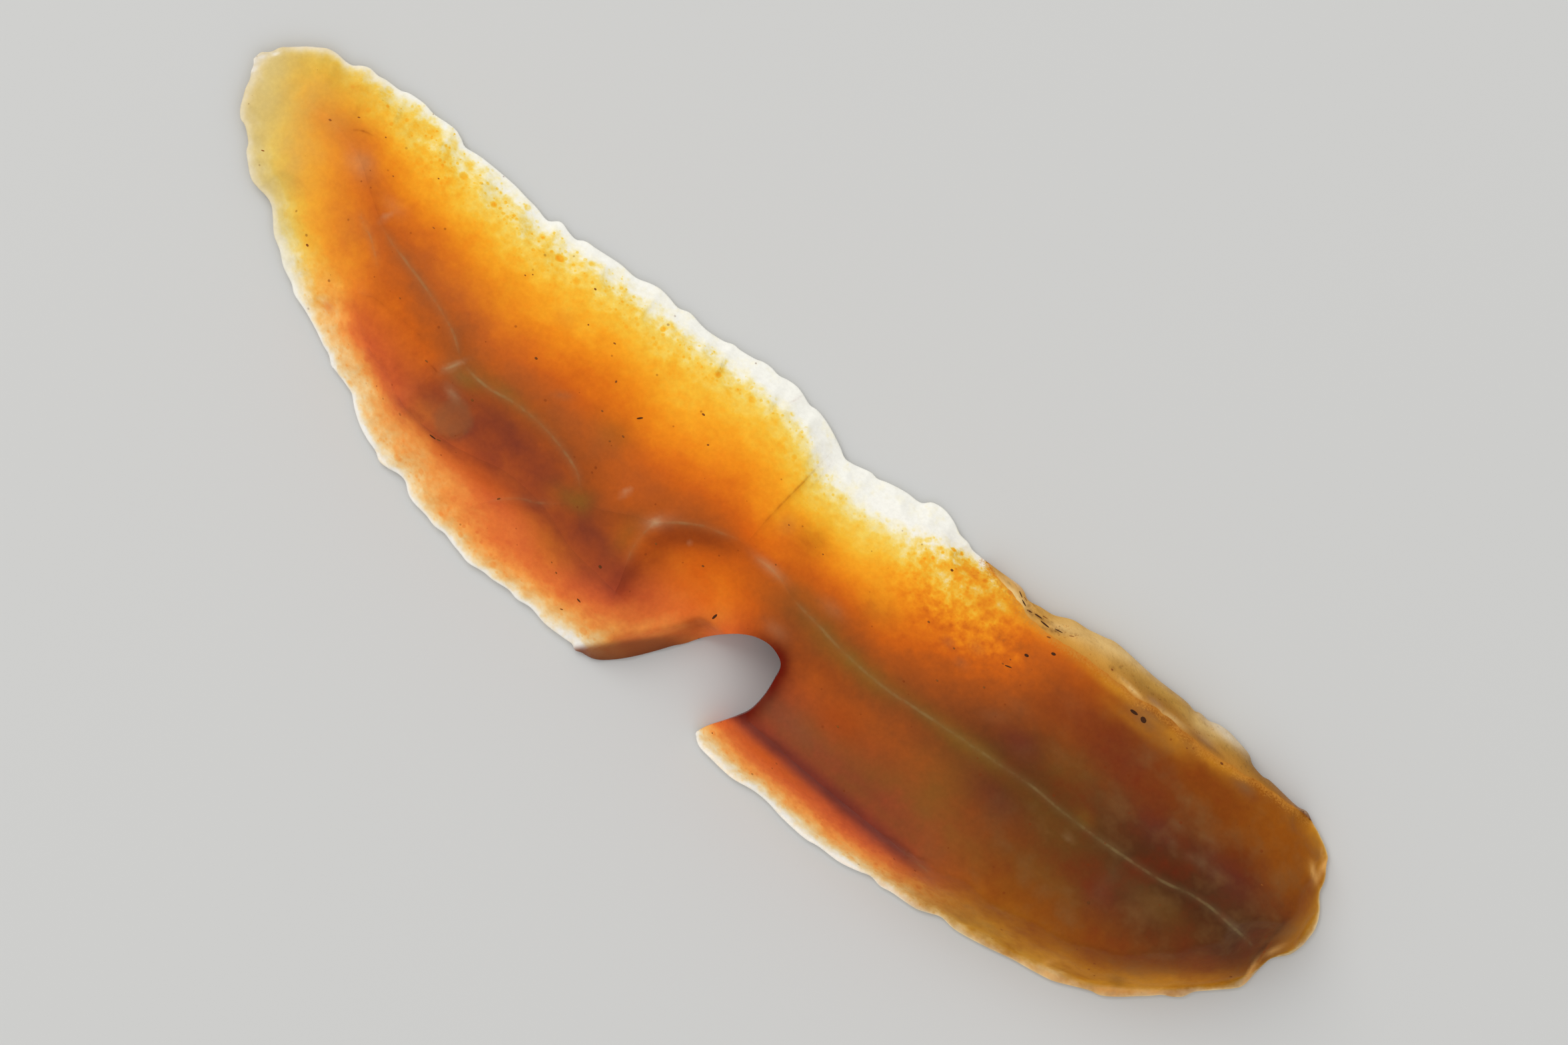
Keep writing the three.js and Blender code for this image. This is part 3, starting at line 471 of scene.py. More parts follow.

# Stains in the stone and painted light: middle, half length, half width, turn if there is one, strength at
# the middle
STAINS_AND_PAINTED_LIGHT = {
    "smoky": (
        (-50, 5, 5.5, 9, 0.85), (-45, -0.5, 4, 2.6, -40, 0.5),
    ),
    "haze": (
        (-50, 1.5, 4.5, 3.5, -30, 0.36), (-46, -1.5, 5, 1.6, -35, 0.4), (-50.5, 7, 1.5, 3.5, 30, 0.4),
        (-41, -3.6, 3.5, 0.9, -38, 0.35),
    ),
    # Golden patches; the narrow one on the platform's edge at x 49.6 is a painted highlight
    "golden": (
        (-43.5, 8.6, 2.2, 1.1, 0.35), (44.5, -5.2, 4.5, 0.7, 45, 0.5), (38.5, -8.2, 3, 0.8, 22, 0.45),
        (28, 10.2, 8, 0.4, 0.3), (28.4, 10.35, 1.5, 0.3, 0.5), (33.4, 10.3, 1.2, 0.35, 0.4),
        (36.8, 10.6, 1.3, 0.35, 0.5), (39, 10.95, 1.4, 0.3, 6, 0.45), (31, 9.1, 2.4, 0.35, 0.25),
        (34, 9.6, 1.8, 0.4, 0.25), (48.65, 9.3, 0.6, 0.5, 0.55), (18, 10.2, 3, 0.7, -5, 0.35),
        (50.5, 5, 0.8, 2.4, 6, 0.4), (43.5, -5.9, 2.2, 0.8, 36, 0.4), (32.5, -8.2, 5, 0.8, 8, 0.15),
        (15.5, 8.6, 3.5, 1.6, 0.3), (49.6, 1, 0.12, 1.4, 10, 0.6), (46.6, 11.3, 1.6, 0.5, -25, 0.3),
    ),
    "orange": (
        (-42, 6.6, 2.4, 1, 8, 0.4), (-35.4, -4.6, 0.4, 0.3, 0.6), (0.3, 2.2, 1.3, 0.9, 0.5),
        (-0.8, -3.4, 2.6, 2.8, 30, 0.55), (-18.5, -7.1, 4, 0.7, 4, 0.4), (-9, -0.6, 2.5, 1.3, 0.25),
        (12, -10.1, 5, 0.5, 0.5), (21, 9.3, 5, 0.9, 0.3), (13.6, -4.6, 1.6, 1.2, 0.25),
        (-16, 1.5, 6, 1.5, 0.25),
    ),
    "umber": (
        (49.15, 2.5, 0.2, 2, 5, 0.6), (44, 3.6, 6, 2.4, 0.6), (45, 0.9, 5, 1.5, 0.5),
        (38, 2.6, 5, 1.5, 0.3), (3.7, 4.4, 1.1, 1, 0.28), (-3.2, -11, 1.3, 2, -40, 0.2),
        (42.3, -6.7, 0.7, 0.5, 0.35), (27, 2, 5, 2.5, 0.25), (25.8, -1.6, 2, 1, 0.3),
        (40.5, -1.5, 3, 1.2, 0.3), (1, -5.7, 1.8, 0.55, 52, 0.3),
    ),
    "violet": (
        (-21, -4.6, 4.6, 1.7, 4, 0.68), (-19, -3.2, 4, 0.8, 0.3), (-14.5, -4.2, 3.6, 1.4, -6, 0.5),
        (-9, -5.4, 3.6, 1.7, -8, 0.42), (-8.4, -5.2, 0.8, 0.5, 0.28), (-21.42, -5.5, 0.15, 0.6, 8, 0.5),
        (-21.8, -6.25, 0.14, 0.45, -40, 0.5), (-25.3, -5.6, 1.2, 1, 0.4), (-24.8, -4.2, 1.3, 0.9, 0.25),
        # The spots along y -9 from x 12 to 24 paint the shade that the shoulder's step casts inside the stone
        (-5.9, -6.2, 1, 0.9, 0.3), (12, -9.05, 4.5, 0.5, 0.7), (19.4, -9.2, 4.6, 0.5, -1, 0.7),
        (23.4, -9.3, 1.4, 0.5, 0.35), (-9.5, -6.4, 4, 1, 0.4), (-23.5, -6.9, 3, 0.35, -4, 0.4),
        (-15, -6.2, 3, 0.9, 0.4), (-10, -8, 2.5, 1, 0.25), (22, -7.1, 2.6, 1, 0.06),
        (25.3, 2.6, 1.5, 0.8, 0.45), (31.5, 6.8, 4, 1.8, 0.4), (37, 4, 1.6, 0.9, 0.4),
        (43.5, 4.8, 3, 1, 0.4), (26, -1.8, 2, 0.9, 0.35), (37, -2.6, 1.3, 0.8, 0.35),
        (-4.6, -2.6, 1.2, 1.4, 30, 0.15), (17, -7.8, 6, 0.9, 0.16),
    ),
    "olive": (
        (-23.9, -2.3, 1.1, 0.5, 0.5), (-11.6, -3.9, 0.9, 0.8, 0.45), (-13, -4.4, 1, 0.8, 0.25),
        (-12.8, 1.6, 1.7, 1, 0.3), (-21, -1.2, 2.5, 0.5, 0.35), (11.8, -0.7, 2.6, 0.8, 0.5),
        (6, 1, 2.2, 0.8, 0.2), (10.8, 3.6, 1.3, 0.9, 0.3), (22.5, -3, 2.4, 2, 0.22),
        (32.3, 1.4, 0.8, 0.5, 0.4), (31.5, -0.6, 3.2, 1.4, 0.2), (33, -3.8, 3.4, 1.1, 0.2),
        (22, 0.1, 3, 0.6, 3, 0.4), (18, -0.1, 11, 0.7, 2, 0.22), (8.4, 0.1, 1.6, 0.7, 0.2),
        (29.5, 3, 2.4, 1.5, 0.25), (41, -0.3, 2, 0.8, 0.2), (-7.2, -3.8, 0.7, 1.2, 0.3),
        (15, -6.3, 4.5, 1, 0.25), (25, -6, 4, 1.4, 0.3), (21, -5, 4, 1.6, 0.15),
        (17, -7.9, 7, 0.5, -1, 0.2),
    ),
    "blood": (
        (-5, -4.8, 0.9, 2, 0.3), (-5, -2.2, 0.9, 1, 25, 0.2), (-3.3, -0.7, 1.9, 0.7, 32, 0.35),
        (-1.2, 0.2, 1.8, 0.5, 18, 0.3), (28, 7, 2.4, 1.4, 0.25), (35, 7.4, 3.5, 1.4, 0.2),
        (44, 6.4, 3.5, 0.9, -15, 0.25), (11, -2.4, 2.2, 1, 0.2), (13.8, -4.8, 1.5, 1, 0.25),
    ),
    # Milky clouds; the small bright spots near the main arris, at x -36 and from x -9.7 to -3.3, are painted
    # highlights
    "milk": (
        (-40.2, 5.3, 1, 0.8, 0.2), (-36.1, 3.35, 0.12, 0.36, -20, 0.55), (-36.2, 4.3, 0.8, 0.45, 0.12),
        (-9.3, -1.4, 0.12, 0.32, -18, 0.65), (-9.7, -0.85, 0.06, 0.22, -30, 0.4),
        (-6.2, -1.75, 0.42, 0.2, 60, 0.6), (-6.1, -1.6, 1, 0.45, 50, 0.18), (-3.3, -1.4, 0.07, 0.07, 0.6),
        (8, 1.6, 0.9, 0.45, 0.08), (5.8, -2.3, 0.8, 0.45, 0.12), (2.6, 1.05, 1.2, 0.3, 0.2),
        (32.3, -0.55, 0.35, 0.15, 0.12), (45.7, 2.1, 0.9, 0.22, 0.1), (-23.9, -3.8, 0.5, 0.2, -12, 0.3),
        (-25.2, -2.15, 0.75, 0.12, 62, 0.36),
    ),
    "slate": (
        (-29, 1.8, 7, 2.2, -8, 0.2), (-14, 0.2, 6, 1.4, 0.13), (-37, 0.6, 3, 1.5, -30, 0.14),
        (-24.7, -2.4, 1.1, 0.7, 0.22), (-23.7, -3.8, 0.95, 0.35, -15, 0.4), (-22.8, -5.6, 1.2, 0.8, 0.15),
        (-24.3, -5.4, 0.9, 0.8, 0.12), (1.6, 4.3, 0.6, 0.6, 0.2), (-17.5, 1.3, 0.6, 0.25, 30, 0.3),
        (-21, 6, 0.8, 0.5, 0.1), (31.2, 9.8, 1.3, 0.4, 0.35), (31.4, 10.4, 1.2, 0.22, 0.35),
        (40.4, 10.6, 0.9, 0.4, 0.35), (35.4, 10.5, 0.8, 0.35, 0.2), (40.4, 4, 0.5, 0.3, 20, 0.3),
        (41.3, 4.15, 0.35, 0.35, 0.3), (42.6, 4.25, 0.55, 0.26, 15, 0.28), (38.7, 4, 0.4, 0.25, 0.28),
        (39.3, 3.4, 0.3, 0.2, 0.18), (38.2, 5.2, 0.6, 0.22, -10, 0.25), (40.8, 5.9, 0.5, 0.25, 0.28),
        (41.6, 5.3, 0.3, 0.3, 0.14), (36.6, -1.5, 0.6, 1.2, 0.15), (39.5, -0.5, 2.4, 0.9, 0.1),
        (46.5, 6.2, 1.9, 0.7, -28, 0.12), (33, 3.4, 3, 1.4, 0.08), (11, -7, 3, 1, 0.2),
        (22.5, 3, 0.9, 0.4, 30, 0.18), (44.5, 3, 2.4, 1.2, 0.08), (26.7, 7.4, 1.3, 0.7, 0.1),
        (18.1, 4.5, 0.45, 0.3, 0.3), (16.4, 5.1, 0.4, 0.25, 0.25), (18.3, 6.1, 0.5, 0.35, 0.2),
        (23.5, 4.6, 1, 0.4, 0.12),
    ),
    # Painted highlights on the chips of the butt's rim and its platform
    "glint": (
        (42.2, -7.6, 0.8, 0.16, 35, 0.8), (43, -7.1, 0.5, 0.1, 38, 0.7), (44, -6.2, 0.9, 0.14, 38, 0.8),
        (44.9, -5.6, 0.6, 0.12, 40, 0.7), (42.9, -7.5, 0.3, 0.1, 60, 0.6),
        (48.95, 9.7, 0.2, 0.75, 10, 0.9), (48.6, 8.9, 0.6, 0.18, -35, 0.8),
        (48.2, 10.4, 0.5, 0.12, -50, 0.4), (49.62, 0.1, 0.17, 0.8, 12, 0.85),
        (49.95, 2.6, 0.2, 0.7, -20, 0.4), (38.2, -9.6, 1.6, 0.25, 15, 0.35),
        (37.3, -8.9, 0.5, 0.2, 60, 0.3), (50.6, 1.9, 0.3, 0.12, 70, 0.4),
    ),
    # Painted highlights on the crumbly edge of the tip
    "sparkle": (
        (-51, 5.7, 0.3, 0.12, 80, 0.9), (-50.9, 4.6, 0.25, 0.1, 100, 0.8),
        (-50.6, 3.4, 0.3, 0.1, 110, 0.7), (-50.3, 2.5, 0.25, 0.1, 110, 0.7),
        (-51.1, 6.8, 0.25, 0.12, 60, 0.9), (-49.9, 1.4, 0.3, 0.1, 120, 0.6),
        (-51.35, 6.25, 0.2, 0.15, 90, 0.8), (-50.5, 7.6, 0.3, 0.1, 45, 0.6),
    ),
}

# Stains and painted highlights narrower than this keep an even border, and that of the others wanders
SMALL_STAIN = 0.7
STAIN_WARP = {"reach": 0.35, "lump": 2.4, "seeds": (51, 57)}
# Dark halos round the notch: width, where each comes past its head, and strength in two of the stains
NOTCH_HEAD = (6.0, -3.4)
HALO = {"width": 0.6, "comes": (-2.5, 1.5), "blood": 0.85, "umber": 0.6}
WIDE_HALO = {"width": 1.6, "comes": (-3, 2), "blood": 0.35}
HALO_ABOVE = (-10, -8.4)
# The colour of the notch's lip: how it comes in from its border, where it ends in y, and its darker edge
LIP_FADE = (0, 0.6)
LIP_END = (-9, -5.4)
LIP_EDGE_WIDTH = 0.6
# Share of the tip's pale stains that the rim keeps, and the band over which the rest comes in
TIP_RIM_SHARE = 0.55
TIP_RIM_BAND = (0.1, 0.8)

# Looks that masks call for: colour, strength and raggedness
POT_LID_LOOK = ((142, 88, 52), 0.5, 0.4)
LIP_LOOK = ((150, 80, 40), 0.9, 0.1)
LIP_EDGE_LOOK = ((92, 42, 22), 0.6, 0.5)
FLECK_LOOK = ((120, 48, 12), 0.45, 0.8)
CRUMB_LOOK = ((206, 138, 54), 1, 1)
# Arris lines: colour, strength, raggedness and half width; the pale ones are painted highlights
LINE_LOOKS = {"dark": ((142, 58, 12), 1, 0.3, 0.13), "pale_highlight": ((170, 152, 102), 0.4, 0.3, 0.17)}
# A line is broken where the noise is under a level, and lies in a wider, fainter haze
LINE_BREAK = 0.34
LINE_BREAK_RATE = 4.0
LINE_CORE = 0.85
LINE_HAZE = 0.32
LINE_HAZE_WIDTHS = 4.0
OVERLAY_RAGGED = 0.7
VIOLET_RAGGED = 0.35

# Noises: scales of their clouds and their grain in lumps per metre, and the detail and roughness of both
MOTTLE_SCALES = {
    "wide": (420, 3000),
    "fine": (1300, 7000),
    "marble": (310, 1600),
    "cortex": (700, 3600),
    "speck": (1500, 6000),
}
CLOUD_DETAIL = (3, 0.55)
GRAIN_DETAIL = (2, 0.6)
NOISE_MIDDLE = 0.5
# Dots: cells per metre, the largest dot in cells, and how rare large ones are
DOT_SIZES = {"large": (950, 0.36, 2.6), "small": (2600, 0.42, 1.8), "fleck": (1150, 0.15, 4)}
SMALLEST_DOT = 0.01
DOT_BORDER = 1.25
DOT_SHARPNESS = 2.0
# Millimetres of stone that clouds add everywhere and in the bands, and that dots and curdling add
WIDE_SWING = 1.3
FINE_SWING = 0.7
BAND_SWING = 3.2
LARGE_DOT_DEPTH = 1.5
SMALL_DOT_DEPTH = 0.9
CRAZED_SWING = 2.8
# How fast the mottling comes in with the depth of stone, as none shows in the clear rim
FULL_PER_MM = 1.4
# Chalky crumbs beside the cortex: how they thin out, from which noise on, how sharply, and at most
CRUMB_THINNING = 0.55
CRUMB_LEVEL = 0.2
CRUMB_SHARPNESS = 2.2
CRUMB_MOST = 0.55

# Finishes: least roughness, what noise adds to it, and how strong reflections are
FLINT_FINISH = (0.32, 0.16, 0.035)
CORTEX_FINISH = (0.62, 0.2, 0.08)
SPECK_FINISH = (0.45, 0.3, 0.1)
FLINT_IOR = 1.54
# Relief: strength and depth of the bumps, and how much grain the flint has in its bumps and its colour
FLINT_BUMPS = {"Strength": 0.25, "Distance": 0.08 * MM}
CORTEX_BUMPS = {"Strength": 0.5, "Distance": 0.15 * MM}
FLINT_BUMP_GRAIN = 0.35
GRAIN_SHADE = 0.2

# The cortex: the two colours of its clouds, and a warmer one towards the flint
CORTEX_TAN = (152, 102, 34)
CORTEX_CREAM = (216, 168, 80)
CORTEX_WARM = (182, 116, 38)
CORTEX_WARM_REACH = 1.1
CORTEX_PITS = {"Pit_Scale": 1500.0, "Pit_Width": 0.3}
CORTEX_RAGGED = 0.6
# Where it is rough: off its border, off the outer edge, and up to a station, with little beyond
ROUGH_FROM_BORDER = (0.1, 0.4)
ROUGH_FROM_EDGE = (0.35, 0.7)
ROUGH_UP_TO = (21, 25)
LEAST_ROUGH = 0.08
# Its chalk grains, in metres, and how far up a face has to look to carry them
CHALK_GRAINS = {"Grains per m2": 9e6, "Smallest Grain": 0.04 * MM, "Largest Grain": 0.11 * MM, "Seed": 4}
GRAINS_LOOK_UP = 0.15

RIND_COLOURS = {
    "honey": (232, 170, 74),
    "cream": (246, 214, 150),
    "brown": (112, 66, 24),
    "lilac": (150, 140, 134),
    "pearl": (228, 214, 192),
}
# Stains on the rind, in the same way
RIND_STAINS = {
    "honey": (
        (17.5, 11.4, 3.5, 1, -8, 0.85), (24.5, 11.6, 3.5, 1.2, 8, 0.6), (29, 10.95, 1.2, 0.2, 2, 0.6),
        (32.9, 11.1, 1.2, 0.2, 2, 0.6), (39.5, 11.6, 3, 0.35, 6, 0.35),
    ),
    "cream": (
        (25, 12.2, 2.6, 0.6, 10, 0.5), (29.2, 11, 0.8, 0.14, -6, 0.5), (32.9, 11.2, 1.1, 0.16, 2, 0.5),
        (37, 12.9, 1.5, 0.35, 0.6), (35.4, 12.2, 1.2, 0.5, 0.35), (18, 11, 1.3, 0.3, -10, 0.7),
        (27.5, 12.7, 2.5, 0.3, 0.3), (22.3, 11.2, 0.9, 0.3, 20, 0.4),
    ),
    "brown": (
        (42, 11.9, 3, 0.4, 5, 0.4), (40.3, 12.2, 1.6, 0.4, 0.3), (31, 11.4, 2, 0.3, 0.35),
        (35, 11.25, 2.4, 0.3, 2, 0.35), (20.6, 10.8, 1, 0.09, 10, 0.75),
        (19.6, 10.85, 0.5, 0.07, -32, 0.6), (21.8, 10.6, 0.8, 0.07, 22, 0.7),
        (22.4, 11.1, 0.7, 0.06, 30, 0.5), (20, 11.25, 0.5, 0.06, -10, 0.5),
        (16.8, 11.45, 0.8, 0.08, -8, 0.35), (36.4, 11.3, 1.2, 0.15, 0.4), (31, 11.8, 4, 0.22, 0.3),
        (23.4, 11.5, 0.5, 0.05, 35, 0.4), (27.2, 11.3, 0.16, 0.1, 0.7), (27.6, 11.7, 0.12, 0.08, 0.6),
    ),
    "pearl": (
        (36.8, 12.95, 2, 0.35, 0.65), (43.5, 12.35, 1.2, 0.12, -4, 0.5),
        (17.5, 11.75, 1.4, 0.12, -4, 0.4), (30, 12.9, 2.5, 0.2, 0.25),
    ),
    "lilac": (
        (31.2, 11.3, 0.5, 0.2, 0.2), (36, 11.5, 0.7, 0.2, 0.15), (42.5, 12.45, 3.5, 0.3, -4, 0.4),
        (45.5, 12.1, 1.5, 0.3, -6, 0.5), (33, 13, 2, 0.15, 0.3),
    ),
}

# Dark mineral specks that show on the face: x, y, length, width, turn in degrees
SPECKS = (
    (-12, 3.6, 0.55, 0.14, 48), (-17, 6.75, 0.24, 0.12, 10), (-8.5, 6.8, 0.28, 0.16, 0),
    (-6.8, 5.25, 0.2, 0.14, 40), (-15.1, 4.6, 0.16, 0.22, 0), (-12.1, 1.75, 0.24, 0.15, -10),
    (-12.65, 0.85, 0.18, 0.12, 30), (-20.8, 2.2, 0.26, 0.2, 0), (-20.7, 9, 0.22, 0.16, 0),
    (-14.5, 2.25, 0.2, 0.14, 0), (-23.1, -7.2, 0.6, 0.15, 4), (-22.6, -7.1, 0.4, 0.12, 25),
    (-16.4, -7.7, 0.35, 0.14, 60), (-10.35, -8.9, 0.16, 0.1, 0), (-9.6, -9.3, 0.2, 0.16, 0),
    (-7, -9.85, 0.42, 0.16, -12), (-7.6, -11.2, 0.26, 0.12, 30), (-5.15, -2.9, 0.22, 0.14, 0),
    (-1.4, -2, 0.22, 0.18, 0), (1.65, -4.4, 0.6, 0.2, 78), (1.65, 4.4, 0.14, 0.12, 0),
    (2.75, 1.5, 0.14, 0.12, 0), (-27, -3.1, 0.3, 0.12, 0), (-22.5, -3.2, 0.26, 0.18, 0),
    (23.05, 9.35, 0.38, 0.24, 15), (21.55, 8, 0.38, 0.24, 10), (21, 6.5, 0.6, 0.12, 18),
    (20.55, 6.4, 0.18, 0.1, 0), (20.55, 4.15, 0.22, 0.17, 0), (13.25, 9.45, 0.26, 0.2, 0),
    (17, 5, 0.2, 0.14, 0), (17.5, 2.35, 0.22, 0.16, 0), (27.2, 11.2, 0.2, 0.14, 0),
    (30.45, 9.75, 0.7, 0.26, 3), (31.35, 9.75, 0.55, 0.42, -20), (37.95, 10.9, 0.28, 0.18, 0),
    (35.2, 10.15, 0.16, 0.1, 0), (45.9, 5.75, 0.22, 0.14, 20), (36.6, -3.4, 0.28, 0.22, 0),
    (48.6, -1.05, 0.26, 0.18, 0), (13.9, -4.95, 0.24, 0.14, 0), (40.6, -7.4, 0.16, 0.1, 0),
    (-35, 8.05, 0.16, 0.1, 0), (-42.5, 7.85, 0.22, 0.1, 30), (-40, 7.95, 0.14, 0.12, 0),
    (-44, 6.35, 0.24, 0.12, 15), (-46.6, 1.4, 0.34, 0.08, 20), (-39.5, -2, 0.26, 0.2, 0),
    (-37.7, 6.05, 0.14, 0.1, 0), (-25.4, 6.5, 0.16, 0.1, 0), (-25, 6.9, 0.12, 0.1, 0),
    (-32.9, 4.95, 0.24, 0.08, 0), (-31.5, -0.7, 0.16, 0.1, 0), (5, 4.3, 0.16, 0.12, 0),
    (18.4, 11.3, 0.6, 0.13, -42), (18.95, 10.95, 0.7, 0.15, -35), (19.7, 10.72, 0.5, 0.14, 12),
    (20.45, 10.85, 0.75, 0.15, 5), (21.2, 10.68, 0.9, 0.14, -3), (22.3, 10.95, 0.7, 0.11, 8),
    (20.9, 11.1, 0.5, 0.07, 15), (18.9, 11.25, 0.4, 0.07, -20), (23.3, 11.25, 0.4, 0.07, 30),
    (-19.4, 6.6, 0.14, 0.12, 0), (22, 10.1, 0.34, 0.12, 20), (20.8, 7, 0.14, 0.1, 0),
    (14.3, 5.35, 0.22, 0.16, 0), (-7.3, -6.85, 0.3, 0.22, -10), (7, -11.3, 0.14, 0.12, 0),
)
SPECK_STAND = 0.035
SLOPE_STEP = 0.05
# Large specks are darker than small ones, and those near the tip are rusty
SPECK_AREAS = (0.02, 0.09)
LEAST_SPECK_DARK = 0.2
RUSTY_TIP = (-34, -24)
RUSTY_TIP_DARK = 0.5
SPECK_BLACK = (38, 22, 12)
SPECK_BROWN = (84, 44, 18)
SPECK_RUST = (158, 88, 30)

# The camera looks straight down from over the middle of the picture
PICTURE_MIDDLE = (1.25, 4.32)
PICTURE_WIDTH = 117.65
PICTURE_TURN = 39
LENS = 200
SENSOR = 36

# The studio: a pale table, lamps with place, size and power, and the world's light
TABLE_HALF = 3
TABLE_DROP = 0.02
TABLE_COLOUR = (212, 212, 210)
TABLE_ROUGHNESS = 0.9
TABLE_SPECULAR = 0.1
LAMPS = {
    "window_lamp": ((-0.75, 0.25, 0.75), 0.9, 4.2),
    "fill_lamp": ((0.6, -0.5, 0.9), 1.6, 1.8),
}
WORLD_STRENGTH = 0.66

# Seeds of the two grids
FLINT_GRID_SEED = 3
CORTEX_GRID_SEED = 5


def along_blade(share):
    return (np.asarray(share, float) - 0.5) * BLADE_LENGTH


def across_blade(share):
    return np.asarray(share, float) * BLADE_WIDTH


def plan_points(shares):
    """Plan points in millimetres from rows of shares."""
    rows = np.asarray(shares, float)
    return np.column_stack([along_blade(rows[:, 0]), across_blade(rows[:, 1])])


def smooth_curve(points, spacing):
    """Points at an even spacing on a smooth curve through the given points."""
    p = np.asarray(points, float)
    ends = np.vstack([2 * p[0] - p[1], p, 2 * p[-1] - p[-2]])
    t = np.linspace(0, 1, CURVE_SAMPLES, endpoint=False)[:, None]
    pieces = []
    for a, b, c, d in zip(ends, ends[1:], ends[2:], ends[3:]):
        curve = 2 * b + (c - a) * t + (2 * a - 5 * b + 4 * c - d) * t ** 2
        pieces.append(0.5 * (curve + (3 * b - a - 3 * c + d) * t ** 3))
    return straight_curve(np.vstack(pieces + [p[-1:]]), spacing)


def follow(rows, x):
    """A smooth function of x through rows of (x, value), with each slope from the neighbours."""
    table = np.asarray(rows, float)
    stations, values = table[:, 0], table[:, 1]
    slopes = np.gradient(values, stations)
    i = np.clip(np.searchsorted(stations, x) - 1, 0, len(stations) - 2)
    span = stations[i + 1] - stations[i]
    t = np.clip((x - stations[i]) / span, 0, 1)
    blend = t * t * (3 - 2 * t)
    bulge = t * (1 - t) * span * ((1 - t) * slopes[i] - t * slopes[i + 1])
    return values[i] + (values[i + 1] - values[i]) * blend + bulge


def share_table(rows, scale):
    """Rows of (share of the length, share of a size) as rows of millimetres."""
    return [(float(along_blade(row[0])), row[1] * scale) for row in rows]


def edge_line(shares, x, reach=0.0):
    """The across position of an edge, averaged over a reach that takes its scallops out."""
    points = plan_points(shares)
    to_end = np.minimum(x - points[0, 0], points[-1, 0] - x)
    reach = np.minimum(reach, END_REACH_SHARE * np.maximum(to_end, 0))
    stations = [x + k * reach for k in np.linspace(-1, 1, AVERAGE_SAMPLES)]
    samples = [np.interp(station, points[:, 0], points[:, 1]) for station in stations]
    return np.mean(samples, axis=0)


def travelled_along(line):
    return np.r_[0, np.cumsum(np.hypot(*np.diff(line, axis=0).T))]


def straight_curve(points, spacing):
    """Points at an even spacing on the straight lines through the given points."""
    p = np.asarray(points, float)
    travelled = travelled_along(p)
    stops = np.linspace(0, travelled[-1], max(2, math.ceil(travelled[-1] / spacing) + 1))
    return np.column_stack([np.interp(stops, travelled, p[:, axis]) for axis in (0, 1)])


def subdivided(line, spacing):
    """The same line with further points, so that no two of them are more than the spacing apart."""
    p = np.asarray(line, float)
    parts = np.ceil(np.hypot(*np.diff(p, axis=0).T) / spacing).astype(int)
    pieces = []
    for a, b, n in zip(p, p[1:], parts):
        pieces.append(a + (b - a) * np.linspace(0, 1, max(n, 1), endpoint=False)[:, None])
    return np.vstack(pieces + [p[-1:]])


def nearest_on(line, points):
    """Distance from each point to an open line, and how far along it the nearest place is."""
    dense = subdivided(line, OUTLINE_STEP)
    tree = KDTree(len(dense))
    for index, (x, y) in enumerate(dense):
        tree.insert((x, y, 0), index)
    tree.balance()
    nearest = np.array([tree.find((x, y, 0))[1] for x, y in points], int)
    travelled = travelled_along(dense)
    distance = np.full(len(points), np.inf)
    place = np.zeros(len(points))
    for first in (np.maximum(nearest - 1, 0), np.minimum(nearest, len(dense) - 2)):
        step = dense[first + 1] - dense[first]
        square = np.maximum((step ** 2).sum(1), TINY)
        t = np.clip(((points - dense[first]) * step).sum(1) / square, 0, 1)
        gap = np.hypot(*(dense[first] + t[:, None] * step - points).T)
        closer = gap < distance
        distance = np.where(closer, gap, distance)
        place = np.where(closer, travelled[first] + t * np.sqrt(square), place)
    return distance, place


def place_on(run, spot):
    """How far along a run the place nearest to one spot lies."""
    return nearest_on(run, np.array([spot]))[1][0]


def closed(loop):
    """A loop as a line that ends where it starts."""
    return np.vstack([loop, loop[:1]])


def inside_loop(points, loop):
    x, y = points[:, 0], points[:, 1]
    inside = np.zeros(len(points), bool)
    for (x0, y0), (x1, y1) in zip(loop, np.roll(loop, -1, axis=0)):
        if y0 != y1:
            crossing = x < (x1 - x0) * (y - y0) / (y1 - y0) + x0
            inside ^= ((y0 > y) != (y1 > y)) & crossing
    return inside


def keep_in_box(line):
    return np.clip(line, (-BLADE_LENGTH / 2, -BOX_SIDE), (BOX_BUTT, BOX_SIDE))


def smooth_step(value, low, high):
    t = np.clip((value - low) / (high - low), 0, 1)
    return t * t * (3 - 2 * t)


def cloud(points, size, seed):
    """Soft noise between -1 and 1 over the plan, with lumps of about the given size."""
    return np.array([noise.noise((x / size, y / size, seed)) for x, y in points])


def clouds(points, size, seed):
    """Cloud noise with its finer layers, still between -1 and 1."""
    layers = [strength * cloud(points, size / finer, seed + shift) for finer, strength, shift in CLOUD_LAYERS]
    return sum(layers) / sum(strength for _, strength, _ in CLOUD_LAYERS)


# The outline, in four runs that meet at the tip, the butt and the two corners of the notch
BACK_RUN = keep_in_box(smooth_curve(plan_points(BACK_EDGE_SHARES), OUTLINE_STEP))
belly_points = plan_points(BELLY_EDGE_SHARES)
notch_start = along_blade(NOTCH_MOUTH_SHARE)
at_lip = belly_points[:, 0] < notch_start + CORNER_TOLERANCE
lip_side, butt_side = belly_points[at_lip], belly_points[~at_lip]
TIP_BELLY_RUN = keep_in_box(smooth_curve(lip_side, OUTLINE_STEP))
BUTT_BELLY_RUN = keep_in_box(smooth_curve(butt_side, OUTLINE_STEP))
notch_points = np.asarray(NOTCH_OUTLINE_SHARES) * (NOTCH_WIDTH, NOTCH_DEPTH)
notch_points = notch_points + (notch_start, -BLADE_WIDTH / 2)
NOTCH_RUN = smooth_curve(np.vstack([lip_side[-1], notch_points, butt_side[0]]), OUTLINE_STEP)

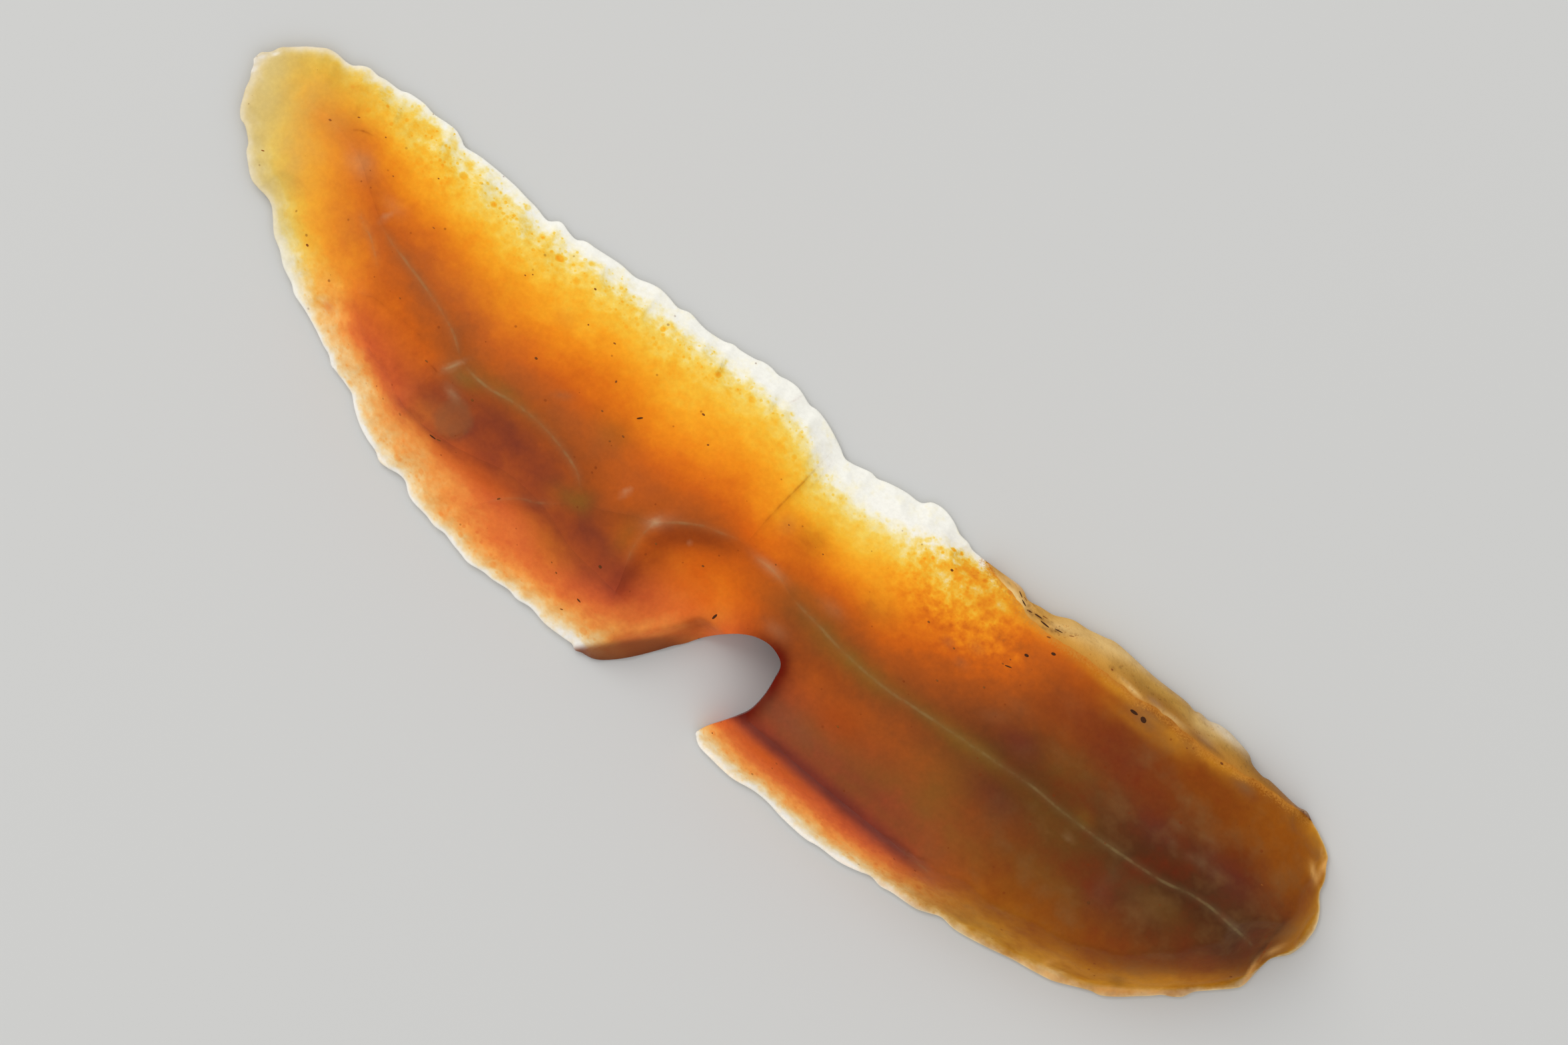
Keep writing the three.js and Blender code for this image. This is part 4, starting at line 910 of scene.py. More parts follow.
cortex_from, cortex_to = along_blade(CORTEX_START_SHARE), along_blade(CORTEX_END_SHARE)
in_cortex = (BACK_RUN[:, 0] >= cortex_from) & (BACK_RUN[:, 0] <= cortex_to)
CORTEX_EDGE_RUN = BACK_RUN[in_cortex]
CORTEX_BORDER_RUN = smooth_curve(
    np.vstack([CORTEX_EDGE_RUN[0], CORTEX_BORDER, CORTEX_EDGE_RUN[-1]]), OUTLINE_STEP)
border_way = travelled_along(CORTEX_BORDER_RUN)
from_ends = np.minimum(border_way, border_way[-1] - border_way)
border_noise = clouds(CORTEX_BORDER_RUN, BORDER_WOBBLE["lump"], BORDER_WOBBLE["seed"])
CORTEX_BORDER_RUN[:, 1] += (
    border_noise * BORDER_WOBBLE["height"] * smooth_step(from_ends, 0, BORDER_WOBBLE["start"]))
CORTEX_LOOP = np.vstack([CORTEX_EDGE_RUN, CORTEX_BORDER_RUN[-2:0:-1]])[::-1]

before = BACK_RUN[BACK_RUN[:, 0] < CORTEX_EDGE_RUN[0, 0]]
after = BACK_RUN[BACK_RUN[:, 0] > CORTEX_EDGE_RUN[-1, 0]]
FLINT_LOOP = np.vstack([
    before, CORTEX_BORDER_RUN, after[:-1], BUTT_BELLY_RUN[:0:-1], NOTCH_RUN[:0:-1], TIP_BELLY_RUN[:0:-1],
])[::-1]

# The sharp stretches of the edge, and the retouched ones with the side that is inwards and a share of the
# scars' usual length
SHARP_RUNS = (
    BACK_RUN[BACK_RUN[:, 0] <= cortex_from], BACK_RUN[BACK_RUN[:, 0] >= cortex_to],
    TIP_BELLY_RUN, BUTT_BELLY_RUN,
)
RETOUCHED_RUNS = (
    (BACK_RUN[BACK_RUN[:, 0] < cortex_from + RETOUCH_PAST_CORTEX[0]], -1, 1),
    (TIP_BELLY_RUN, 1, 1),
    (BUTT_BELLY_RUN[BUTT_BELLY_RUN[:, 0] < RETOUCH_BELLY_END], 1, BUTT_REACH_SHARES[0]),
    (BACK_RUN[BACK_RUN[:, 0] > cortex_to - RETOUCH_PAST_CORTEX[1]], -1, BUTT_REACH_SHARES[1]),
)


def ventral_lift(x):
    share = x / BLADE_LENGTH + 0.5
    return TIP_LIFT * np.maximum(0, 1 - share / TIP_LIFT_SHARE) ** 2


def soft_lower(a, b, radius):
    """The lower of two heights, with the crease between them rounded off."""
    share = np.clip(0.5 + 0.5 * (b - a) / radius, 0, 1)
    return b + (a - b) * share - radius * share * (1 - share)


def wear(x, start, end):
    """0 where an arris is sharp, between two stations, and 1 where it is worn to a round."""
    return 1 - smooth_step(x, start - WORN_BEFORE, start) * (1 - smooth_step(x, end, end + WORN_AFTER))


def arris_lines(x):
    """Across positions of the main arris, the shoulder arris and the calm edges."""
    reach = CALM_REACH_SHARE * BLADE_LENGTH
    back = edge_line(BACK_EDGE_SHARES, x, reach)
    belly = edge_line(BELLY_EDGE_SHARES, x, reach)
    width = back - belly
    below, above = RIDGE_LIMIT_SHARES
    ridge = np.clip(follow(MAIN_ARRIS, x), belly + below * width, back - above * width)
    below, above = SHOULDER_LIMIT_SHARES
    shoulder = np.clip(follow(SHOULDER_ARRIS, x), belly + below * width, ridge - above * width)
    return back, ridge, shoulder, belly


def unscarred_height(x, y):
    """The dorsal face with its long facets only: hollow between the arrises and the rims."""
    x = np.clip(x, -LAST_SECTION, LAST_SECTION)
    back, ridge_y, shoulder_y, belly = arris_lines(x)
    taper = np.clip((back - belly) / (FULL_TAPER_RIMS * (RETOUCH_WIDTH + VENTRAL_BEVEL)), LEAST_TAPER, 1)
    rise = np.interp(x, *np.transpose(share_table(CORTEX_RISE_SHARES, 1)))
    edge = ventral_lift(x) + EDGE_HEIGHT
    back_span = np.minimum(taper * RETOUCH_WIDTH * (1 + rise), (back - ridge_y) / 2)
    belly_span = np.minimum(taper * RETOUCH_WIDTH, (shoulder_y - belly) / 2)
    back_z = edge + taper * (RETOUCH_HEIGHT + rise * (CORTEX_SHOULDER_HEIGHT - RETOUCH_HEIGHT))
    belly_z = edge + taper * RETOUCH_HEIGHT
    ridge_z = np.maximum(back_z, follow(share_table(ARRIS_HEIGHT_SHARES, BLADE_THICKNESS), x))
    shoulder_z = np.maximum(belly_z, follow(share_table(SHOULDER_HEIGHT_SHARES, BLADE_THICKNESS), x))

    def facet(foot_y, foot_z, crest_y, crest_z, hollow):
        t = (y - foot_y) / (crest_y - foot_y)
        inner = np.clip(t, 0, 1)
        return foot_z + (crest_z - foot_z) * t - taper * hollow * 4 * inner * (1 - inner)

    slope = facet(back - back_span, back_z, ridge_y, ridge_z, BACK_HOLLOW)
    centre = facet(ridge_y, ridge_z, shoulder_y, shoulder_z, CENTRE_HOLLOW)
    bevel = facet(belly + belly_span, belly_z, shoulder_y, shoulder_z, BELLY_HOLLOW)
    crisp, worn = MAIN_ROUND
    height = soft_lower(slope, centre, crisp + worn * wear(x, *CRISP_MAIN))
    crisp, worn = SHOULDER_ROUND
    return soft_lower(height, bevel, crisp + worn * wear(x, *CRISP_SHOULDER))


def oval_distance(points, x, y, half_length, half_width, turn=0):
    """Distance from the middle of an oval, 1 on its border."""
    angle = math.radians(turn)
    along = (points[:, 0] - x) * math.cos(angle) + (points[:, 1] - y) * math.sin(angle)
    across = (points[:, 1] - y) * math.cos(angle) - (points[:, 0] - x) * math.sin(angle)
    return np.hypot(along / half_length, across / half_width)


def soft_spot(points, *oval, power=2):
    """1 in the middle of an oval and a half on its border, fading out beyond."""
    return 2.0 ** -(oval_distance(points, *oval) ** power)


def one_side_of(points, arris, *corners):
    """Which points lie in the area closed by an arris and further corners, and how far from the arris."""
    line = np.asarray(arris, float)
    distance, _ = nearest_on(line, points)
    return inside_loop(points, np.vstack([line, corners])), distance


def strike_scar(height, points, arris, corners, depth, run):
    """Lowers the area on one side of an arris, steeply at first and then level."""
    inside, distance = one_side_of(points, arris, *corners)
    fade, _ = nearest_on(np.asarray(corners, float), points)
    drop = depth * (1 - np.exp(-distance / run)) * smooth_step(fade, 0, SCAR_FADE_RUNS * run)
    return height - np.where(inside, drop, 0)


def strike_notch_scar(height, points):
    """The broad scar beside the notch: a hollow that starts at its arris and runs out butt-wards."""
    scar = NOTCH_SCAR
    hollow = scar["floor"] + scar["rise"] * oval_distance(points, *scar["oval"]) ** 2
    inside, distance = one_side_of(points, NOTCH_SCAR_ARRIS, *NOTCH_SCAR_CORNERS)
    station = points[:, 0] + scar["end_lean"] * (points[:, 1] - scar["end_y"])
    fade = 1 - smooth_step(station, *scar["end"])
    drop = (height - soft_lower(height, hollow, scar["round"])) * (1 - np.exp(-distance / scar["run"])) * fade
    return height - np.where(inside, drop, 0)


def strike_back_bite(height, points):
    """The scar that bites the back edge, from the cross arris towards the butt."""
    bite = BACK_BITE
    r = oval_distance(points, *bite["oval"])
    inside, distance = one_side_of(points, BACK_CROSS_ARRIS, *BACK_BITE_CORNERS)
    drop = bite["depth"] * np.clip(1 - r ** 2, 0, 1) * (1 - np.exp(-distance / bite["run"]))
    step = bite["step"] * (1 - np.exp(-distance / bite["step_run"]))
    step = step * np.clip(1 - distance / bite["step_reach"], 0, 1)
    return height - np.where(inside, drop + step, 0)


def point_along(run, travelled, way):
    """The point a given way along a run."""
    return np.array([np.interp(way, travelled, run[:, axis]) for axis in (0, 1)])


def strike_retouch(height, points, run, inward, reach_scale, rng):
    """Small scoops side by side along an edge; where two meet, a crest is left."""
    distance, place = nearest_on(run, points)
    travelled = travelled_along(run)
    stop = RETOUCH_START
    while stop < travelled[-1]:
        at = point_along(run, travelled, stop)
        ahead = point_along(run, travelled, stop + RETOUCH_SIDE)
        behind = point_along(run, travelled, stop - RETOUCH_SIDE)
        tangent = (ahead - behind) / np.hypot(*(ahead - behind))
        normal = np.array([-tangent[1], tangent[0]]) * inward
        half = RETOUCH_PITCH * rng.uniform(*RETOUCH_HALF_SHARES)
        width = edge_line(BACK_EDGE_SHARES, at[0]) - edge_line(BELLY_EDGE_SHARES, at[0])
        reach = min(rng.uniform(*RETOUCH_REACH) * reach_scale, RETOUCH_LONGEST_SHARE * float(width))
        lean = rng.uniform(-RETOUCH_LEAN, RETOUCH_LEAN)
        scoop = RETOUCH_SCOOP * rng.uniform(*RETOUCH_SCOOP_SHARES)
        crest = RETOUCH_CREST * rng.uniform(*RETOUCH_CREST_SHARES)
        foot = at + normal * reach
        top = float(unscarred_height(foot[0], foot[1]))
        reaches, halves = RETOUCH_FAR
        near = (distance < reaches * reach) & (np.abs(place - stop) < halves * half + abs(lean) * reach)
        e, s = distance[near], place[near] - stop
        t = e / reach
        u = (s - lean * e) / half
        floor = float(ventral_lift(at[0])) + EDGE_HEIGHT + EDGE_LAND / 2
        at_rim, per_reach = RETOUCH_RIM_CREST
        rim = np.clip(at_rim + per_reach * t, 0, 1)
        surface = floor + (top - floor) * t - scoop * 4 * t * (1 - t) + crest * rim * u ** 2
        height[near] = np.minimum(height[near], surface)
        stop += half * rng.uniform(*RETOUCH_STRIDE)
    return height


def body_height(points):
    """The dorsal face with its long facets, its broad scars and the struck platform."""
    height = unscarred_height(points[:, 0], points[:, 1])
    for arris, corners, depth, run in FLAKE_SCARS:
        height = strike_scar(height, points, arris, corners, depth, run)
    height = strike_notch_scar(height, points)
    height = strike_back_bite(height, points)
    line = PLATFORM_X + (PLATFORM_Y - points[:, 1]) * PLATFORM_LEAN
    platform = EDGE_HEIGHT + EDGE_LAND + PLATFORM_SLOPE * (line + PLATFORM_RUN - points[:, 0])
    return np.minimum(height, np.maximum(platform, EDGE_HEIGHT + EDGE_LAND))


def from_sharp_edge(points):
    """Distance from the sharp edge, leaving out the cortex and the notch."""
    return np.min([nearest_on(run, points)[0] for run in SHARP_RUNS], axis=0)


def cortex_height(points, edge):
    """Height of the cortex with its rounded outer side, and which points lie on it."""
    from_edge, _ = nearest_on(CORTEX_EDGE_RUN, points)
    from_border, _ = nearest_on(CORTEX_BORDER_RUN, points)
    in_rind = inside_loop(points, CORTEX_LOOP) | (from_edge < EDGE_TOLERANCE)
    in_rind &= from_border > EDGE_TOLERANCE
    t = CORTEX_FOOT_SHARE + (1 - CORTEX_FOOT_SHARE) * from_edge / np.maximum(from_edge + from_border, TINY)
    full = np.maximum(unscarred_height(points[:, 0], points[:, 1]), edge)
    rounded = edge + (full - edge) * (1 - (1 - t) ** CORTEX_FULLNESS) ** CORTEX_ROUND
    lumps = sum(high * clouds(points, size, seed) for high, size, seed in CORTEX_LUMPS)
    rounded += np.sin(np.pi * t) * lumps
    return np.minimum(rounded, edge + RIM_SLOPE * from_sharp_edge(points)), in_rind


def lip_height(points):
    """The lip of the notch slopes in; round its head and its butt side the wall stands upright."""
    from_notch, place = nearest_on(NOTCH_RUN, points)
    lip_end = place_on(NOTCH_RUN, NOTCH_LIP_END)
    start, end = NOTCH_LIP_RISE
    wall = BLADE_THICKNESS * smooth_step(place, lip_end + start, lip_end + end)
    ripple = NOTCH_LIP_RIPPLE["height"] * np.sin(place * NOTCH_LIP_RIPPLE["per_mm"]) * np.exp(-from_notch)
    return NOTCH_LIP_FOOT + wall + NOTCH_LIP_SLOPE * from_notch + ripple


def dorsal_height(points):
    """Height of the dorsal face over plan points, with every scar struck."""
    x, y = points[:, 0], points[:, 1]
    height = body_height(points)
    lift = ventral_lift(x)
    edge = lift + EDGE_HEIGHT + EDGE_LAND / 2

    rng = np.random.default_rng(RETOUCH_SEED)
    for run, inward, reach_scale in RETOUCHED_RUNS:
        height = strike_retouch(height, points, run, inward, reach_scale, rng)
    height = np.minimum(height, edge + RIM_SLOPE * from_sharp_edge(points))

    rounded, in_rind = cortex_height(points, edge)
    height = np.where(in_rind, rounded, height)
    for *oval, depth in RIM_DENTS:
        r = oval_distance(points, *oval)
        spare = np.maximum(height - edge, 0)
        height = height - depth * np.clip(1 - r ** 2, 0, 1) * spare / (spare + DENT_SOFTNESS)
    height = np.minimum(height, lip_height(points))

    ring, wave = BLOW_RINGS, FRACTURE_WAVES
    from_blow = np.hypot(x - ring["x"], y - ring["y"])
    bend = ring["bend"] * cloud(points, ring["lump"], ring["seed"])
    rings = ring["height"] * np.sin(from_blow * ring["per_mm"] + bend)
    inland = smooth_step(height - lift, *INLAND_HEIGHTS)
    height = height + inland * (rings + wave["height"] * clouds(points, wave["lump"], wave["seed"]))
    return np.clip(height, ventral_height(points) + LEAST_THICKNESS, BLADE_THICKNESS)


def light_depth(points):
    """Depth of stone as the light sees it: the body, a share of the retouch, and the clearer rim."""
    x = points[:, 0]
    body = body_height(points) - ventral_lift(x)
    struck = dorsal_height(points) - ventral_height(points)
    from_notch, _ = nearest_on(NOTCH_RUN, points)
    relief = RELIEF_SHARE * smooth_step(from_notch, *RELIEF_FROM_NOTCH)
    depth = body + relief * (struck - body)
    depth = depth * np.interp(x, *np.transpose(DENSITY_ALONG))
    for *oval, extra in DENSITY_PATCHES:
        depth = depth + extra * soft_spot(points, *oval)
    glow = RIM_GLOW * (1 - LESS_GLOW * smooth_step(x, *LESS_GLOW_FROM))
    return np.maximum(depth, 0) * (1 - np.exp(-from_sharp_edge(points) / glow))


def ventral_height(points):
    """Height of the ventral face: flat, bevelled to the edge, with faint waves and the bulb scar."""
    x, y = points[:, 0], points[:, 1]
    edges = [nearest_on(run, points)[0] for run in (BACK_RUN, TIP_BELLY_RUN, BUTT_BELLY_RUN)]
    from_edge = np.min(edges, axis=0)
    from_notch, _ = nearest_on(NOTCH_RUN, points)
    wobble = BEVEL_WOBBLE["share"] * cloud(points, BEVEL_WOBBLE["lump"], BEVEL_WOBBLE["seed"])
    width = VENTRAL_BEVEL * (1 + wobble)
    bevel = (EDGE_HEIGHT - EDGE_LAND / 2) * np.clip(1 - from_edge / width, 0, 1) ** BEVEL_CURVE
    bevel = np.maximum(bevel, NOTCH_BEVEL_HEIGHT * np.clip(1 - from_notch / NOTCH_BEVEL, 0, 1))
    wave, bulb = VENTRAL_WAVES, BULB_SCAR
    from_blow = np.hypot(x - wave["x"], y - wave["y"])
    swell = np.sin(from_blow * wave["per_mm"] + cloud(points, wave["lump"], wave["seed"]))
    waves = wave["height"] + wave["height"] * swell * np.clip(from_blow / wave["full_from"], 0, 1)
    r = oval_distance(points, *bulb["oval"])
    scar = bulb["depth"] * np.sqrt(np.clip(1 - r ** 2, 0, 1)) * (1 - bulb["flat"] * np.clip(1 - r, 0, 1))
    return ventral_lift(x) + bevel + smooth_step(from_edge, *wave["inland"]) * waves + scar


def hex_grid(loop, step, low, high, rng):
    """Jittered points in a triangular grid, inside a loop and between two distances from it."""
    x0, y0 = loop.min(0)
    x1, y1 = loop.max(0)
    rows = np.arange(y0, y1, step * math.sqrt(0.75))
    columns = np.arange(x0, x1, step)
    grid = np.array([(x + (i % 2) * step / 2, y) for i, y in enumerate(rows) for x in columns])
    grid += rng.uniform(-GRID_JITTER, GRID_JITTER, grid.shape) * step
    grid = grid[inside_loop(grid, loop)]
    distance, _ = nearest_on(closed(loop), grid)
    return grid[(distance > low) & (distance < high)]


def inner_ring(loop, gap):
    """Points just inside a loop, beside each of its corners."""
    ahead = np.roll(loop, -1, axis=0) - np.roll(loop, 1, axis=0)
    inward = np.column_stack([-ahead[:, 1], ahead[:, 0]]) / np.hypot(*ahead.T)[:, None]
    ring = loop + gap * inward
    distance, _ = nearest_on(closed(loop), ring)
    return ring[inside_loop(ring, loop) & (distance > RING_CLEARANCE * gap)]


def triangulate(loop, lines, grid):
    """Triangles inside a loop that keep its edges and the given lines."""
    points = [tuple(p) for p in loop]
    edges = [(i, (i + 1) % len(loop)) for i in range(len(loop))]
    for line in lines:
        first = len(points)
        points += [tuple(p) for p in line]
        edges += [(first + i, first + i + 1) for i in range(len(line) - 1)]
    points += [tuple(p) for p in grid]
    found = delaunay_2d_cdt([Vector(p) for p in points], edges, [], 1, WELD_GAP)
    verts, new_edges, faces, origins, edge_origins, _ = found
    place = {}
    for index, sources in enumerate(origins):
        for source in sources:
            place[source] = index
    border = [place[i] for i in range(len(loop))]
    creases = [edge for edge, sources in zip(new_edges, edge_origins)
               if any(len(loop) <= source < len(edges) for source in sources)]
    return np.array([tuple(v) for v in verts]), faces, border, creases


def main_arris_line():
    x = np.arange(*CRISP_MAIN, CREASE_STEP)
    return np.column_stack([x, arris_lines(x)[1]])


def crease_lines():
    """The crisp arrises, as lines for mesh edges to follow."""
    shoulder_x = np.arange(*CRISP_SHOULDER, CREASE_STEP)
    lines = [main_arris_line(), np.column_stack([shoulder_x, arris_lines(shoulder_x)[2]])]
    for arris in (NOTCH_SCAR_ARRIS[3:], HINGE_ARRIS, BELLY_CROSS_ARRIS, TIP_STEP_ARRIS, BACK_CROSS_ARRIS,
                  TIP_SPALL_ARRIS):
        lines.append(smooth_curve(arris, CREASE_STEP))
    return lines


def lines_inside(lines, loop):
    """The parts of some lines that lie in a loop and keep off its border."""
    kept = []
    for line in lines:
        safe = inside_loop(line, loop) & (nearest_on(closed(loop), line)[0] > CREASE_STEP)
        runs = np.split(np.arange(len(line)), np.flatnonzero(np.diff(safe.astype(int))) + 1)
        kept += [line[run] for run in runs if safe[run[0]] and len(run) > 1]
    return kept


def wall_columns(top_border, under_border, places, shift):
    """Columns of points down the wall between two borders, with more rows where it is tall."""
    columns = []
    for upper, lower in zip(top_border, under_border):
        high, low = places[upper], places[shift + lower]
        column = [upper]
        if high[2] - low[2] > TALL_WALL:
            for row in range(1, WALL_ROWS):
                t = row / WALL_ROWS
                column.append(len(places))
                places.append(tuple(high[i] + (low[i] - high[i]) * t for i in range(3)))
        column.append(shift + lower)
        columns.append(column)
    return columns


def wall_faces(columns):
    faces = []
    for here, there in zip(columns, columns[1:] + columns[:1]):
        if len(here) == len(there):
            faces += list(zip(here[1:], there[1:], there, here))
        else:
            faces.append(tuple(here[::-1] + there))
    return faces


def mark_sharp(mesh, creases, rim, tall):
    """Marks the crisp arrises as sharp, and the rim wherever a tall wall stands under it."""
    crease_set = {tuple(sorted(edge)) for edge in creases}
    sharp = []
    for edge in mesh.edges:
        a, b = edge.vertices
        on_tall_rim = a in rim and b in rim and (a in tall or b in tall)
        sharp.append(on_tall_rim or tuple(sorted((a, b))) in crease_set)
    mesh.attributes.new("sharp_edge", "BOOLEAN", "EDGE").data.foreach_set("value", sharp)


def build_stone(name, loop, lines, seed):
    """A closed stone over a loop: dorsal face, ventral face and the wall or edge between them."""
    rng = np.random.default_rng(seed)
    grid = np.vstack([
        inner_ring(loop, RING_GAP),
        hex_grid(loop, FINE_STEP, 2 * RING_GAP, FINE_BAND, rng),
        hex_grid(loop, COARSE_STEP, FINE_BAND, math.inf, rng),
    ])
    for line in lines:
        distance, _ = nearest_on(line, grid)
        grid = grid[distance > GRID_CLEARANCE * FINE_STEP]
    top, top_faces, top_border, creases = triangulate(loop, lines, grid)
    under_grid = hex_grid(loop, UNDERSIDE_STEP, GRID_CLEARANCE * UNDERSIDE_STEP, math.inf, rng)
    under, under_faces, under_border, _ = triangulate(loop, [], under_grid)

    places = [(x, y, z) for (x, y), z in zip(top, dorsal_height(top))]
    shift = len(places)
    places += [(x, y, z) for (x, y), z in zip(under, ventral_height(under))]
    columns = wall_columns(top_border, under_border, places, shift)
    faces = [tuple(face) for face in top_faces]
    faces += [tuple(shift + i for i in reversed(face)) for face in under_faces]
    faces += wall_faces(columns)

    mesh = bpy.data.meshes.new(name)
    mesh.from_pydata([Vector(p) * MM for p in places], [], faces)
    shell = bmesh.new()
    shell.from_mesh(mesh)
    bmesh.ops.triangulate(shell, faces=[f for f in shell.faces if len(f.verts) > 3])
    shell.to_mesh(mesh)
    shell.free()
    mesh.shade_smooth()
    rim = set(top_border) | {shift + i for i in under_border}
    tall = {end for column in columns if len(column) > 2 for end in (column[0], column[-1])}
    mark_sharp(mesh, creases, rim, tall)
    return linked(name, mesh), np.arange(len(places)) < shift


def linked(name, data):
    """A new object in the scene."""
    piece = bpy.data.objects.new(name, data)
    bpy.context.scene.collection.objects.link(piece)
    return piece


def plan_of(piece):
    """The plan points of a piece's mesh, in millimetres."""
    places = np.empty(len(piece.data.vertices) * 3)
    piece.data.vertices.foreach_get("co", places)
    return places.reshape(-1, 3)[:, :2] / MM


def lay_values(piece, **layers):
    """Stores values on the points of a piece's mesh, each set under its own name."""
    for name, values in layers.items():
        layer = piece.data.attributes.new(name, "FLOAT", "POINT")
        layer.data.foreach_set("value", np.asarray(values, np.float32))


def line_strength(points, lines):
    """Distance from the nearest of some lines, and how strongly it shows, fading at its ends."""
    distance = np.full(len(points), NO_LINE)
    strength = np.zeros(len(points))
    for line, shown in lines:
        gap, place = nearest_on(line, points)
        length = travelled_along(line)[-1]
        ends = smooth_step(np.minimum(place, length - place), *LINE_ENDS)
        closer = gap < distance
        distance = np.where(closer, gap, distance)
        strength = np.where(closer, shown * ends, strength)
    return distance, strength


def overlay_mask(points, spots, warped=None):
    """How much of a stain or painted light lies at each point; large spots have a wandering border."""
    clear = np.ones(len(points))
    for *oval, strength in spots:
        small = warped is None or min(oval[2:4]) < SMALL_STAIN
        clear *= 1 - strength * soft_spot(points if small else warped, *oval)
    return 1 - clear


def lay_light_values(piece, points):
    """Stores the depth of stone and where the light changes its colour or is mottled."""
    x, y = points[:, 0], points[:, 1]
    belly_side = smooth_step(follow(MAIN_ARRIS, x) - SALMON_BELOW_ARRIS - y, *SALMON_FADE)

    def band(distance, width, look):
        glow = np.exp(-(distance / width) ** 2)
        return glow * smooth_step(x, *look["comes"]) * (1 - smooth_step(x, *look["goes"]))

    bulge = BACK_BAND_BULGE["width"] * smooth_step(x, *BACK_BAND_BULGE["comes"])
    width = BACK_BAND["width"] + bulge * (1 - smooth_step(x, *BACK_BAND_BULGE["goes"]))
    back_band = band(nearest_on(BACK_RUN, points)[0], width, BACK_BAND)
    belly_band = band(from_sharp_edge(points), BELLY_BAND["width"], BELLY_BAND)
    lay_values(
        piece,
        stone_depth=light_depth(points),
        belly_side=belly_side * smooth_step(x, *SALMON_FROM),
        butt_end=smooth_step(x, *AMBER_FROM),
        edge_band=np.maximum(back_band, BELLY_BAND["strength"] * belly_band),
        crazed=soft_spot(points, *CRAZED_PATCH, power=CRAZED_POWER),
        rind_gap=nearest_on(CORTEX_BORDER_RUN, points)[0])


def lay_stains_and_painted_light(piece, points):
    """Stores the masks of the flint's stains and painted light, with the dark halos round the notch among
    them.
    """
    y = points[:, 1]
    from_notch, place = nearest_on(NOTCH_RUN, points)
    from_rim = from_sharp_edge(points)
    past_head = place - place_on(NOTCH_RUN, NOTCH_HEAD)

    def halo(look):
        glow = np.exp(-(from_notch / look["width"]) ** 2)
        return glow * smooth_step(past_head, *look["comes"]) * smooth_step(y, *HALO_ABOVE)

    near, wide = halo(HALO), halo(WIDE_HALO)
    halo_clear = {
        "blood": (1 - HALO["blood"] * near) * (1 - WIDE_HALO["blood"] * wide),
        "umber": 1 - HALO["umber"] * near,
    }
    warps = [STAIN_WARP["reach"] * clouds(points, STAIN_WARP["lump"], seed) for seed in STAIN_WARP["seeds"]]
    warped = points + np.column_stack(warps)
    for overlay in STAIN_AND_PAINTED_LIGHT_COLOURS:
        mask = overlay_mask(points, STAINS_AND_PAINTED_LIGHT[overlay], warped)
        if overlay in halo_clear:
            mask = 1 - (1 - mask) * halo_clear[overlay]
        if overlay in ("smoky", "haze"):
            mask = mask * (TIP_RIM_SHARE + (1 - TIP_RIM_SHARE) * smooth_step(from_rim, *TIP_RIM_BAND))
        lay_values(piece, **{"stain_" + overlay: mask})

    on_lip, from_lip = one_side_of(points, NOTCH_LIP_BORDER, *NOTCH_LIP_CORNERS)
    lip = np.where(on_lip, smooth_step(from_lip, *LIP_FADE), 0) * (1 - smooth_step(y, *LIP_END))
    lay_values(piece, notch_lip=lip, lip_edge=np.exp(-from_notch / LIP_EDGE_WIDTH))


def lay_flint_values(piece, is_top):
    """Stores what the flint's colours follow: depth of stone for its painted light, side, stains and arris
    lines.
    """
    points = plan_of(piece)
    lay_light_values(piece, points)
    lay_stains_and_painted_light(piece, points)
    lid = 1 - smooth_step(oval_distance(points, *POT_LID), *POT_LID_BORDER)
    lay_values(piece, pot_lid=lid * smooth_step(points[:, 0], *POT_LID_START) * is_top)

    # The pale lines are painted highlights where an arris catches the light
    main = main_arris_line()
    pale_highlight = [(main[(main[:, 0] >= start) & (main[:, 0] <= end)], shown)
            for start, end, shown in PALE_MAIN.values()]
    pale_highlight += [(smooth_curve(line, CREASE_STEP), shown) for line, shown in PALE_ARRISES.values()]
    dark = [(smooth_curve(line, CREASE_STEP), shown) for line, shown in DARK_ARRISES.values()]
    for label, lines in (("pale_highlight", pale_highlight), ("dark", dark)):
        distance, strength = line_strength(points, lines)
        lay_values(piece, **{label + "_line_gap": np.where(is_top, distance, NO_LINE),
                             label + "_line_show": np.where(is_top, strength, 0)})


def lay_cortex_values(piece):
    """Stores what the colours and the roughness of the cortex follow."""
    points = plan_of(piece)
    from_border, _ = nearest_on(CORTEX_BORDER_RUN, points)
    from_edge, _ = nearest_on(CORTEX_EDGE_RUN, points)
    for overlay in RIND_COLOURS:
        lay_values(piece, **{"rind_" + overlay: overlay_mask(points, RIND_STAINS[overlay])})
    inner = smooth_step(from_border, *ROUGH_FROM_BORDER) * smooth_step(from_edge, *ROUGH_FROM_EDGE)
    rough = 1 - smooth_step(points[:, 0], *ROUGH_UP_TO)
    lay_values(piece, from_flint=from_border, rough_rind=inner * np.maximum(rough, LEAST_ROUGH))


def linear(colour):
    """A colour written as 0 to 255 in screen values, as Blender's linear values."""
    values = []
    for channel in colour:
        c = channel / 255
        values.append(c / 12.92 if c <= 0.04045 else ((c + 0.055) / 1.055) ** 2.4)
    return (*values, 1)


def feed(tree, node, inputs):
    """Gives a node's inputs plain values, or links from other nodes."""
    for key, value in inputs.items():
        if isinstance(value, bpy.types.NodeSocket):
            tree.links.new(value, node.inputs[key])
        else:
            node.inputs[key].default_value = value


def add(tree, kind, settings=None, inputs=None):
    """Adds a node with its settings and its inputs."""
    node = tree.nodes.new(kind)
    for key, value in (settings or {}).items():
        setattr(node, key, value)
    feed(tree, node, inputs or {})
    return node


